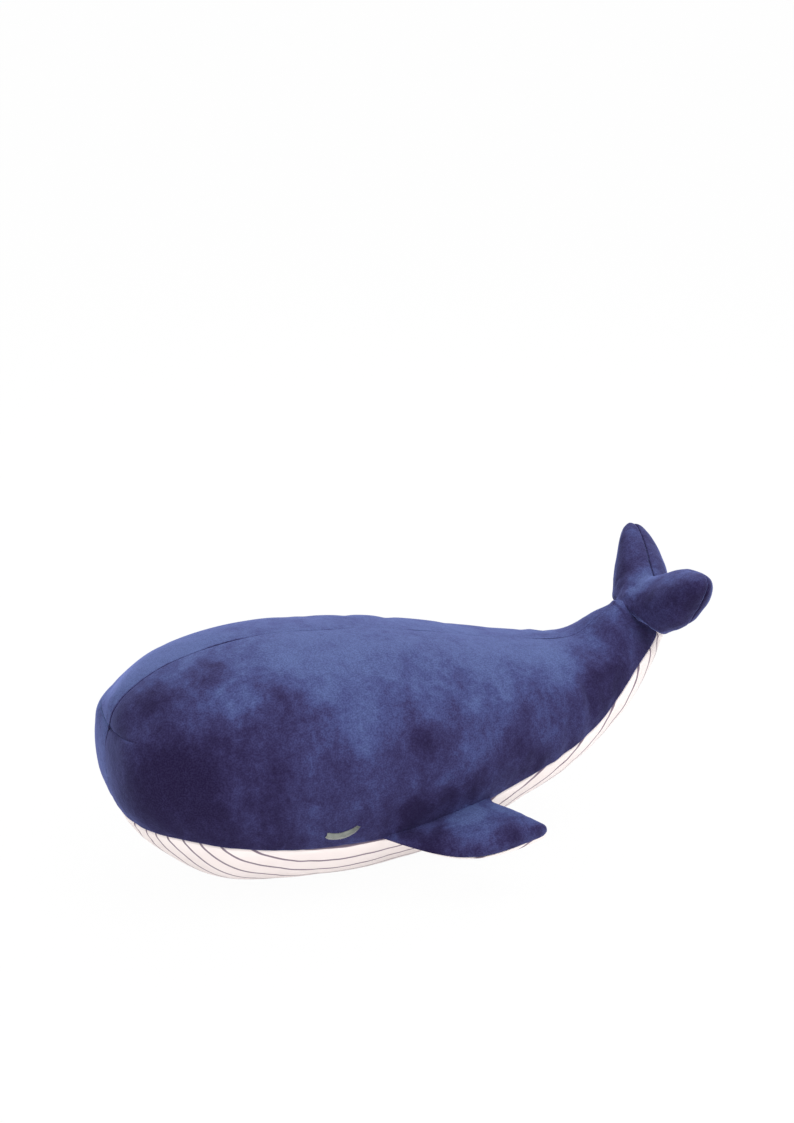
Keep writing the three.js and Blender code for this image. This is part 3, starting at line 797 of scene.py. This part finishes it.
def jersey():
    """Cream knit with a thin mauve line on every stripe, and fine ribs along the cloth"""
    finish = Finish("striped_jersey", (0.9, 0.79, 0.76), 0.8)
    along, across, _ = finish.parts(finish.node("ShaderNodeTexCoord", "UV"))
    where = finish.places()
    x, y, _ = finish.parts(where)

    wander = finish.noise(where, 60) * STRIPE_WANDER
    phase = ((across + wander + STRIPE_PLACE) / STRIPE_PITCH).math("PINGPONG", 0.5)
    rough_edge = finish.noise(where, 1400, 1) * 0.02
    # The drawn cloth is wider in the middle of the chin, and the line stays as thin as elsewhere
    middle = 1 - finish.between(y.math("ABSOLUTE"), 26 * MM, 44 * MM)
    chin = (1 - finish.between(x, NOSE_X, NOSE_X + 90 * MM)) * middle
    phase = (phase + rough_edge) / (1 - chin * 0.7)
    line_width = STRIPE_WIDTH / STRIPE_PITCH
    line = 1 - finish.between(phase, line_width * 0.38, line_width * 0.72)

    ribs = (across * (2 * pi / RIB_WIDTH)).math("SINE")
    courses = (along * (2 * pi / COURSE_HEIGHT)).math("SINE")
    fluff = finish.noise(where, 900, 2, 0.6)
    tint = finish.between(finish.noise(where, 30, 3), 0.35, 0.7)
    cream = finish.mix(tint, (0.87, 0.79, 0.772), (0.835, 0.748, 0.728))
    finish.set("Base Color", finish.mix(line * 0.95, cream, (0.16, 0.11, 0.16)))
    finish.set("Roughness", 0.78 + fluff * 0.12)
    finish.set("Sheen Weight", 0.15)
    finish.set("Sheen Roughness", 0.5)
    finish.set("Specular IOR Level", 0.2)
    finish.raise_by(ribs * 0.35 + courses * 0.15 + fluff * 0.8, 0.25 * MM, 0.5)
    return finish.material


def thread():
    """Pale grey-green embroidery thread with its twist"""
    finish = Finish("pale_thread", (0.22, 0.23, 0.2), 0.55)
    where = finish.places()
    strands = finish.noise(finish.stretched(where, (1, 1, 0.4)), 2200, 2, 0.6)
    tone = finish.between(finish.noise(where, 160), 0.3, 0.7)
    finish.set("Base Color", finish.mix(tone, (0.115, 0.125, 0.115), (0.18, 0.192, 0.17)))
    finish.set("Roughness", 0.5 + strands * 0.2)
    finish.set("Sheen Weight", 0.3)
    finish.raise_by(strands, 0.15 * MM, 0.6)
    return finish.material


VELVET, JERSEY, THREAD = velvet(), jersey(), thread()


def dress(piece, material):
    piece.data.materials.clear()
    piece.data.materials.append(material)


# Stuffing the cloth

def inflate(piece, pins, pressure, cap, slack):
    """Stuffs a closed form as cloth under pressure. Gives how far each point moves, up to a cap."""
    group = piece.vertex_groups.new(name="seams")
    for index in np.flatnonzero(pins > 0):
        group.add([int(index)], float(pins[index]), "REPLACE")
    modifier = piece.modifiers.new("stuffing", "CLOTH")
    settings = modifier.settings
    settings.quality = 5
    settings.mass = 0.2
    settings.tension_stiffness = settings.compression_stiffness = 12
    settings.shear_stiffness = 6
    settings.bending_stiffness = 0.4
    settings.vertex_group_mass = "seams"
    settings.use_pressure = True
    settings.uniform_pressure_force = pressure
    settings.shrink_min = -slack
    settings.effector_weights.gravity = 0
    modifier.collision_settings.use_collision = False
    modifier.point_cache.frame_start = 1
    modifier.point_cache.frame_end = STUFFING_STEPS
    start = places_of(piece)
    scene = bpy.context.scene
    for number in range(1, STUFFING_STEPS + 1):
        scene.frame_set(number)
    result = piece.evaluated_get(bpy.context.evaluated_depsgraph_get())
    end = np.array([v.co for v in result.data.vertices]).reshape(-1, 3)
    scene.frame_set(1)
    piece.modifiers.remove(modifier)
    return capped(end - start, cap)


def capped(moved, cap):
    size = np.linalg.norm(moved, axis=1, keepdims=True)
    return moved * np.minimum(1, cap / np.maximum(size, 1e-9))


def spread(piece, moved, rounds):
    """The motion evened out over the neighbouring points"""
    edges = np.array([e.vertices for e in piece.data.edges])
    count = np.bincount(edges.ravel(), minlength=len(moved))[:, None]
    for _ in range(rounds):
        total = np.zeros_like(moved)
        np.add.at(total, edges[:, 0], moved[edges[:, 1]])
        np.add.at(total, edges[:, 1], moved[edges[:, 0]])
        moved = (moved + total) / (1 + count)
    return moved


def carry(piece, cage, moved):
    """Moves the piece's points as the nearest points of the cage moved"""
    tree = kdtree.KDTree(len(cage))
    for index, point in enumerate(cage):
        tree.insert(point, index)
    tree.balance()
    placed = places_of(piece)
    for index, point in enumerate(placed):
        found = tree.find_n(point, 6)
        weights = np.array([1 / (distance + 1 * MM) ** 2 for _, _, distance in found])
        placed[index] += weights @ moved[[i for _, i, _ in found]] / weights.sum()
    put(piece, placed)


def copy_of(*pieces):
    """One new piece from copies of the given ones"""
    choose(*pieces)
    bpy.ops.object.duplicate()
    bpy.ops.object.join()
    bpy.ops.object.parent_clear(type="CLEAR_KEEP_TRANSFORM")
    made = bpy.context.object
    for key in [key for key in made.keys() if key.startswith("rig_")]:
        del made[key]
    made.hide_render = False
    return made


def sew_dart(sheet, side):
    """Cuts fine rows along the nose dart into the sheet and draws them in"""
    rise = Vector((0, -side * DART_RISE, DART_LENGTH)).normalized()
    start = Vector((NOSE_X, 0, DART_HEIGHT))
    for offset in (0, 0.7, -0.7, 1.6, -1.6, 3.4, -3.4):
        choose(sheet)
        near = [
            abs((Vector(f.center) - start).dot(rise)) < 9 * MM and f.center.x < NOSE_X + 40 * MM
            and abs(f.center.y) < DART_LENGTH + 3 * MM
            for f in sheet.data.polygons
        ]
        sheet.data.polygons.foreach_set("select", near)
        bpy.ops.object.mode_set(mode="EDIT")
        bpy.ops.mesh.bisect(plane_co=start + rise * offset * MM, plane_no=rise)
        bpy.ops.object.mode_set(mode="OBJECT")
    sheet.data.update()
    normals = np.array([v.normal for v in sheet.data.vertices])
    points = places_of(sheet)
    put(sheet, points - normals * dart_depth(points)[:, None])


def stuff_body(sheets):
    """Stuffs a coarser copy of the whole body and carries its bulges over to the sewn sheets"""
    cage = copy_of(*sheets)
    merge(cage, 0.3 * MM)
    in_edit(
        cage,
        lambda: bpy.ops.mesh.select_non_manifold(),
        lambda: bpy.ops.mesh.fill_holes(sides=0),
    )
    cage.data.remesh_voxel_size = BODY_MESH
    choose(cage)
    bpy.ops.object.voxel_remesh()
    points = places_of(cage)
    to_belly = abs(above_seam(points)) * 0.8
    to_back = np.where(above_seam(points) > 0, abs(points[:, 1]), 1)
    nearest = np.minimum(to_belly, to_back)
    pins = np.clip(1.6 - nearest / (6 * MM), 0, 1)
    pins = np.maximum(pins, (points[:, 2] < 1.5 * MM) * 1.0)
    pins = np.maximum(pins, (points[:, 0] > NOSE_X + 480 * MM) * 1.0)
    moved = inflate(cage, pins, pressure=4, cap=6 * MM, slack=0.012)
    moved = capped(moved - spread(cage, moved, 140), 2.6 * MM)
    calm = np.where(above_seam(points) > 0, np.clip(to_back / (60 * MM), 0.25, 1), 0.4)
    moved = moved * calm[:, None]
    for sheet in sheets:
        carry(sheet, points, moved)
        placed = places_of(sheet)
        placed[:, 2] = np.maximum(placed[:, 2], 0)
        put(sheet, placed)
    bpy.data.objects.remove(cage)


def body_covers():
    """The two velvet sides and the jersey belly"""
    side_angles = np.array([ring_angles(s, 0, e, SIDE_ROWS) for s, e in zip(RINGS, SEAM_ANGLES)])
    tail = RINGS[HEAD_RINGS:]
    belly_angles = np.array([
        ring_angles(s, e, 2 * pi - e, BELLY_ROWS) for s, e in zip(tail, SEAM_ANGLES[HEAD_RINGS:])
    ])
    sheets = []
    for name, side in (("left_side_velvet", -1), ("right_side_velvet", 1)):
        sheets.append(cloth_sheet(name, body_grid(side_angles, RINGS[:, None], side, 2 + side)))
    sheets.append(cloth_sheet("belly_jersey", body_grid(belly_angles, tail[:, None], -1, 5), STRIPE_DRIFT))
    for sheet in sheets:
        merge(sheet)
    stuff_body(sheets)
    for sheet in sheets:
        face_away(sheet, (0, 0, 0.11))
    sew_dart(sheets[0], -1)
    sew_dart(sheets[1], 1)
    for sheet in sheets:
        thicken(sheet)
    for sheet in sheets[:2]:
        dress(sheet, VELVET)
    dress(sheets[2], JERSEY)
    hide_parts("left_side_panel")
    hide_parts("right_side_panel")
    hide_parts("belly_panel", "body_stuffing")
    for sheet in sheets:
        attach(sheet, "body")
    return sheets


# Fins

def fin_root(share, depth):
    """A place on the left fin's root, this deep under the body's cloth"""
    station = FIN_ROOT[0] + (FIN_ROOT[1] - FIN_ROOT[0]) * share
    angle = seam_angle(station)
    above = form_point(station, angle - STEP) - form_point(station, angle)
    return form_point(station, angle) + unit(above) * FIN_ROOT_RISE - form_normal(station, angle) * depth


def fin_frame():
    """The ends of the left fin's root, and its ways along, out and up"""
    start, middle, end = (fin_root(share, FIN_ROOT_DEPTH) for share in (0, 0.5, 1))
    along = unit(end - start)
    level = unit(np.array([0, -1, 0]) + along * along[1])
    out = level * cos(FIN_DROOP) - np.cross(level, along) * sin(FIN_DROOP)
    bow = out * ((middle - start) @ out)
    return start + bow, end + bow, along, out, np.cross(out, along)


FIN_START, FIN_END, FIN_ALONG, FIN_OUT, FIN_UP = fin_frame()


def smooth_line(points):
    """A smooth curve through flat points, evenly timed"""
    points = np.array(points) * (FIN_LENGTH, FIN_REACH)
    times = np.arange(len(points)) / (len(points) - 1)
    curves = [spline(times, points[:, k]) for k in (0, 1)]
    return lambda way: np.stack([curve(way) for curve in curves], axis=-1)


def root_line(share, shares, depth):
    """Places along the fin's root, this deep under the body's cloth"""
    line = np.array([fin_root(s, depth) for s in shares])
    return np.stack([np.interp(share, shares, line[:, k]) for k in range(3)], axis=-1)


def root_bow(way, share, shares):
    """How the fin's root leaves its straight line, to lie on the body and to end under the body's cloth"""
    straight = FIN_START + (FIN_END - FIN_START) * share[..., None]
    roots, tucked = (root_line(share, shares, depth) for depth in (FIN_ROOT_DEPTH, FIN_TUCK_DEPTH))
    return (roots - straight) * ((1 - way) ** 2)[..., None] + (tucked - roots) * ((1 - way) ** 12)[..., None]


def fin_grid(side, upper):
    """Points of one fin cloth, from the root to the tip and from the front edge to the back edge"""
    root_length = (FIN_END - FIN_START) @ FIN_ALONG
    front, back = smooth_line(FIN_FRONT), smooth_line(((root_length / FIN_LENGTH, 0), *FIN_BACK))
    swell = spline([s[0] for s in FIN_SWELL], [s[1] for s in FIN_SWELL])
    ways = np.concatenate([np.linspace(0, 0.9, 34), FIN_TIP_ROWS])
    shares = (1 - np.cos(np.linspace(0, pi, 33))) / 2
    way, share = np.meshgrid(ways, shares, indexing="ij")
    if not upper:
        share = 0.5 + (share - 0.5) * (1 - FIN_UNDER_INSET / (0.5 * root_length) * (1 - way) ** 3)
    flat = front(way) * (1 - share[..., None]) + back(way) * share[..., None]
    place = FIN_START + FIN_ALONG * flat[..., :1] + FIN_OUT * flat[..., 1:]
    place = place + root_bow(way, share, shares)

    # The edge seam draws the cloth in, towards the middle
    edge = np.minimum(share, 1 - share) * np.linalg.norm(back(way) - front(way), axis=-1)
    edge = np.minimum(edge, (1 - way) * 60 * MM)
    off_root = rising(way, FIN_ROOT_SHARE)
    draw = np.exp(-edge / FIN_SEAM_WIDTH) * FIN_SEAM_DRAW * off_root
    middle = FIN_START + FIN_ALONG * 0.6 * FIN_LENGTH + FIN_OUT * 0.5 * FIN_REACH
    place = place + unit(middle - place) * draw[..., None]

    rise = FIN_HALF_THICKNESS * np.maximum(swell(way), 0) * (4 * share * (1 - share)) ** 0.55
    if not upper:
        rise = rise * FIN_UNDER_SHARE * off_root
    seed = 21 if upper else 24
    waves = FIN_GATHERS * gathers(place, edge, 7 * MM, 8 * MM, 1.5 * MM, seed)
    slack = FIN_SLACK * ripple(place, 20 * MM, seed + 1) * rising(edge, 8 * MM) * swell(way)
    rise = np.maximum(rise + waves + slack, 0)
    placed = place + FIN_UP * (rise if upper else -rise)[..., None]
    placed[..., 1] *= -side
    return placed


def fin(name, side):
    """One fin: velvet above, jersey below, sewn along its edge and set into the belly seam"""
    made = []
    for cloth, upper in (("velvet", True), ("jersey", False)):
        sheet = cloth_sheet(f"{name}_{cloth}", fin_grid(side, upper))
        merge(sheet)
        up = FIN_UP * (1, -side, 1) * (1 if upper else -1)
        centre = places_of(sheet).mean(axis=0) - up * 20 * MM
        face_away(sheet, centre)
        thicken(sheet)
        made.append(sheet)
    dress(made[0], VELVET)
    dress(made[1], JERSEY)
    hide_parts(f"{name}_top_panel", f"{name}_stuffing")
    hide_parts(f"{name}_underside_panel")
    middle = (FIN_START + FIN_END) / 2 * (1, -side, 1)
    out = FIN_OUT * (1, -side, 1)
    for sheet in made:
        tuple(middle + out * 12 * MM)
        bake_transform(sheet)


# Fluke

def fluke_curl(points, sign):
    """Curls the lobes up towards their tips, or lays them flat again"""
    half = half_width(LAST)
    way = np.maximum(0, (abs(points[:, 1]) - half) / (FLUKE_TIP_ASIDE - half))
    return points + np.outer(sign * FLUKE_CURL * way ** 2, TAIL_UP)


def lobe_side(points):
    """How far a place lies from the middle line of its lobe, towards the outer edge of the fluke"""
    way = unit(np.array([FLUKE_TIP_ALONG - FLUKE_ROOT, FLUKE_TIP_ASIDE]))
    along = (points - FLUKE_SEAM) @ TAIL_ALONG - FLUKE_ROOT
    return along * way[1] - abs(points[:, 1]) * way[0]


def edge_seam_rise(points):
    """How high over the fluke's flat its edge seam runs: low towards the body, a little high outside"""
    side = lobe_side(points)
    way = rising(-points[:, 1] - half_width(LAST), FLUKE_TIP_ASIDE - half_width(LAST))
    return 1.3 * np.minimum(side, 0) + 0.4 * np.maximum(side, 0) - 9 * MM * way ** 2


def seam_steepness(points, normals):
    """How fast the height over the edge seam grows in the cloth, square to the seam"""
    step = 0.1 * MM
    here = edge_seam_rise(points)
    slopes = [edge_seam_rise(points + step * np.eye(3)[k]) - here for k in range(3)]
    rise = TAIL_UP - np.stack(slopes, axis=-1) / step
    return np.maximum(steepness(rise, normals), 0.3)


def fluke_form():
    """The two lobes and a stub of tail, remeshed in one from the solids and stuffed"""
    nodes = [frame["nodes"][n] for n in ("fluke_top_panel", "fluke_underside_panel", "fluke_stuffing")]
    for node in nodes:
        node.hide_viewport = False
    form = copy_of(*nodes)
    form.name = form.data.name = "fluke_form"
    points = places_of(form)
    share = eased(fading((points - FLUKE_SEAM) @ TAIL_ALONG, ROOT_SEAM_REACH))
    put(form, points + np.outer(root_seam_shift(points) * share, TAIL_ALONG))
    deselect_all()
    bpy.ops.mesh.primitive_cylinder_add(vertices=48, radius=1, depth=1)
    stub = bpy.context.object
    turn = Matrix((TAIL_UP, (0, 1, 0), TAIL_ALONG)).transposed().to_4x4()
    size = Matrix.Diagonal((TAIL_REACH * 0.97, half_width(LAST) * 0.97, STUB_LENGTH, 1))
    centre = Vector(FLUKE_SEAM - TAIL_ALONG * STUB_LENGTH / 2)
    stub.data.transform(Matrix.Translation(centre) @ turn @ size)
    choose(form, stub)
    bpy.ops.object.join()
    form.data.remesh_voxel_size = FLUKE_MESH
    bpy.ops.object.voxel_remesh()
    in_edit(form, lambda: bpy.ops.mesh.vertices_smooth(factor=0.5, repeat=9))
    points = places_of(form)
    pins = ((points - FLUKE_SEAM) @ TAIL_ALONG < 6 * MM) * 1.0
    points = points + inflate(form, pins, pressure=3, cap=3 * MM, slack=0.015)
    return form, points


def cut(form, start, square, clear=False):
    in_edit(form, lambda: bpy.ops.mesh.bisect(plane_co=start, plane_no=square, clear_inner=clear))


def sew_fluke(form, points):
    """Cuts rows along both seams and draws the cloth in. Gives each point's height over the edge seam."""
    points = fluke_curl(points, -1)
    points = points - np.outer(root_seam_shift(points), TAIL_ALONG)
    put(form, points - np.outer(edge_seam_rise(points), TAIL_UP))
    for along in (-6, 0, 0.8, 2):
        cut(form, FLUKE_SEAM + TAIL_ALONG * along * MM, TAIL_ALONG, along < 0)
    for offset in (0, 1, -1, 2.6, -2.6):
        cut(form, FLUKE_SEAM + TAIL_UP * offset * MM, TAIL_UP)
    points = places_of(form)
    height = (points - FLUKE_SEAM) @ TAIL_UP
    points = points + np.outer(edge_seam_rise(points), TAIL_UP)
    put(form, points)
    normals = np.array([v.normal for v in form.data.vertices])
    to_root = np.maximum((points - FLUKE_SEAM) @ TAIL_ALONG, 0)
    to_edge = abs(height) / seam_steepness(points, normals)
    nearest = np.minimum(to_edge, to_root)
    depth = np.maximum(roll(to_edge, SEAM_ROLL * 0.7), roll(to_root, ROOT_SEAM_ROLL))
    depth = depth + FLUKE_DIP * fading(nearest, FLUKE_DIP_REACH) ** 2
    depth = depth + FLUKE_GATHERS * gathers(points, nearest, 8 * MM, 9 * MM, 1.5 * MM, 31)
    depth = depth + FLUKE_SLACK * ripple(points, 22 * MM, 33)
    depth = depth + ROOT_CREASE * root_aside(points) * np.exp(-to_root / (3 * MM))
    for x, y, z, size, fuller in LOBE_SWELLS:
        apart = np.linalg.norm(points - (NOSE_X + x * MM, y * MM, z * MM), axis=-1)
        depth = depth - fuller * MM * bump(apart, 0, size * MM)
    points = points + np.outer(root_seam_shift(points), TAIL_ALONG)
    put(form, points - normals * depth[:, None])
    return height


def fluke():
    """Top and underside, parted along the edge seam, curled up and set a little askew"""
    form, points = fluke_form()
    height = sew_fluke(form, points)
    upper = np.array([sum(height[i] for i in f.vertices) > 0 for f in form.data.polygons])
    choose(form)
    form.data.polygons.foreach_set("select", upper)
    bpy.ops.object.mode_set(mode="EDIT")
    bpy.ops.mesh.separate(type="SELECTED")
    bpy.ops.object.mode_set(mode="OBJECT")
    top = next(o for o in bpy.context.selected_objects if o != form)
    for piece, name, side in ((top, "fluke_top_velvet", 1), (form, "fluke_underside_velvet", -1)):
        piece.name = piece.data.name = name
        points = fluke_curl(places_of(piece), 1)
        share = rising((points - FLUKE_SEAM) @ TAIL_ALONG, 30 * MM)
        outer = np.maximum(lobe_side(points), 0) * np.clip(points[:, 1] / (30 * MM), -1, 1)
        tip = FAR_TIP_LONGER * rising(points[:, 1] - 30 * MM, 40 * MM) ** 2
        shift = FLUKE_ASKEW * share * points[:, 1] - 0.2 * outer + tip
        put(piece, points + np.outer(shift, TAIL_ALONG))
        face_away(piece, Vector(places_of(piece).mean(axis=0)) - Vector(TAIL_UP) * side * 30 * MM)
        thicken(piece)
        dress(piece, VELVET)
        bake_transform(piece)
    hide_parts("fluke_top_panel", "fluke_stuffing")
    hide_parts("fluke_underside_panel")


# Eyes

def eye(name, side, cover):
    """A closed eye in satin stitch: threads laid side by side across a downward bow"""
    tree = BVHTree.FromObject(cover, bpy.context.evaluated_depsgraph_get())
    bow = EYE_LENGTH ** 2 / (8 * EYE_SAG) + EYE_SAG / 2
    sweep = 2 * np.arcsin(EYE_LENGTH / (2 * bow))
    centre = form_point(EYE_STATION, EYE_ANGLE)
    along = (form_point(EYE_STATION + STEP, EYE_ANGLE) - centre) / STEP
    down = (form_point(EYE_STATION, EYE_ANGLE + STEP) - centre) / STEP
    threads = []
    for number in range(EYE_THREADS):
        way = (number + 0.5) / EYE_THREADS
        turn = (way - 0.5) * sweep
        width = EYE_WIDTH * min(1, 0.8 + 2 * way, 1.75 * (1.12 - way) ** 0.8)
        width *= 1 + 0.16 * noise.noise(Vector((number * 0.9, side, 0)))
        deselect_all()
        bpy.ops.mesh.primitive_cylinder_add(vertices=8, radius=1, depth=2, end_fill_type="TRIFAN")
        strand = bpy.context.object
        in_edit(strand, lambda: bpy.ops.mesh.subdivide(number_cuts=1))
        placed = []
        for x, y, z in places_of(strand):
            out = bow + z * width / 2
            level = out * sin(turn) + THREAD_SLANT * z
            drop = out * cos(turn) - bow + EYE_SAG / 2
            forward = level * cos(EYE_TURN) + drop * sin(EYE_TURN)
            lower = drop * cos(EYE_TURN) - level * sin(EYE_TURN)
            station = EYE_STATION + forward / np.linalg.norm(along)
            angle = EYE_ANGLE + lower / np.linalg.norm(down)
            point = form_point(station, angle) * (1, -side, 1)
            found, normal, _, _ = tree.find_nearest(Vector(point))
            padding = THREAD_PADDING * (1 - abs(z) ** 3) ** 0.5 * (abs(z) < 1)
            height = THREAD_LOWEST + padding + y * THREAD_HALF_HEIGHT
            aside = Vector(unit(along) * (1, -side, 1)) * x * THREAD_HALF_WIDTH
            placed.append(found + normal * height + aside)
        put(strand, placed)
        threads.append(strand)
    choose(*threads)
    bpy.ops.object.join()
    made = bpy.context.object
    made.name = made.data.name = f"{name}_stitches"
    outward(made)
    smooth(made)
    dress(made, THREAD)
    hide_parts(f"{name}_embroidery")
    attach(made, "body")


# Studio

def studio():
    """Camera, floor, world and soft lamps"""
    nose = Vector((NOSE_X, 0, 0))
    deselect_all()
    bpy.ops.object.camera_add(location=nose + CAMERA_FROM_NOSE)
    camera = bpy.context.object
    camera.rotation_euler = (-CAMERA_BACK).to_track_quat("-Z", "Y").to_euler()
    camera.data.lens = LENS
    camera.data.sensor_width = SENSOR
    bpy.context.scene.camera = camera

    bpy.ops.mesh.primitive_plane_add(size=40, location=(0, 0, 0))
    floor = bpy.context.object
    floor.name = "floor"
    pale = Finish("floor", (0.85, 0.85, 0.85), 0.9)
    seen = pale.node("ShaderNodeLightPath", "Is Camera Ray") * 0.97
    glow = pale.node("ShaderNodeEmission", 0)
    shown = make_node(pale.tree, "ShaderNodeMixShader", None, {
        0: seen, 1: Socket(pale.tree, pale.shader.outputs[0]), 2: glow,
    })
    pale.tree.links.new(shown.outputs[0], pale.tree.nodes["Material Output"].inputs[0])
    floor.data.materials.append(pale.material)

    world = bpy.data.worlds.new("studio")
    bpy.context.scene.world = world
    world.use_nodes = True
    tree = world.node_tree
    rays = make_node(tree, "ShaderNodeLightPath")
    camera_ray, glossy_ray = (Socket(tree, rays.outputs[f"Is {kind} Ray"]) for kind in ("Camera", "Glossy"))
    seen = camera_ray.math("MAXIMUM", glossy_ray)
    strength = make_node(tree, "ShaderNodeMapRange", None, {0: seen, "To Min": 0.85, "To Max": 1.0})
    background = tree.nodes["Background"]
    plug(background.inputs["Strength"], Socket(tree, strength.outputs[0]))
    plug(background.inputs["Color"], (1, 1, 1, 1))

    for name, place, size, power in (
        ("key", (0.3, -0.7, 1.8), 1.3, 17),
        ("back", (0.5, 0.9, 1.4), 1.4, 12),
        ("low", (-0.5, -1.7, 0.35), 1.0, 9),
    ):
        bpy.ops.object.light_add(type="AREA", location=place)
        lamp = bpy.context.object
        lamp.name = name
        lamp.data.size = size
        lamp.data.energy = power
        lamp.rotation_euler = (Vector((0, 0, 0.1)) - Vector(place)).to_track_quat("-Z", "Y").to_euler()


covers = body_covers()
for fin_name, fin_side in (("left_fin", -1), ("right_fin", 1)):
    fin(fin_name, fin_side)
fluke()
for eye_name, eye_side, eye_cover in (("left_eye", -1, covers[0]), ("right_eye", 1, covers[1])):
    eye(eye_name, eye_side, eye_cover)
studio()
bpy.context.scene.view_settings.view_transform = "Standard"
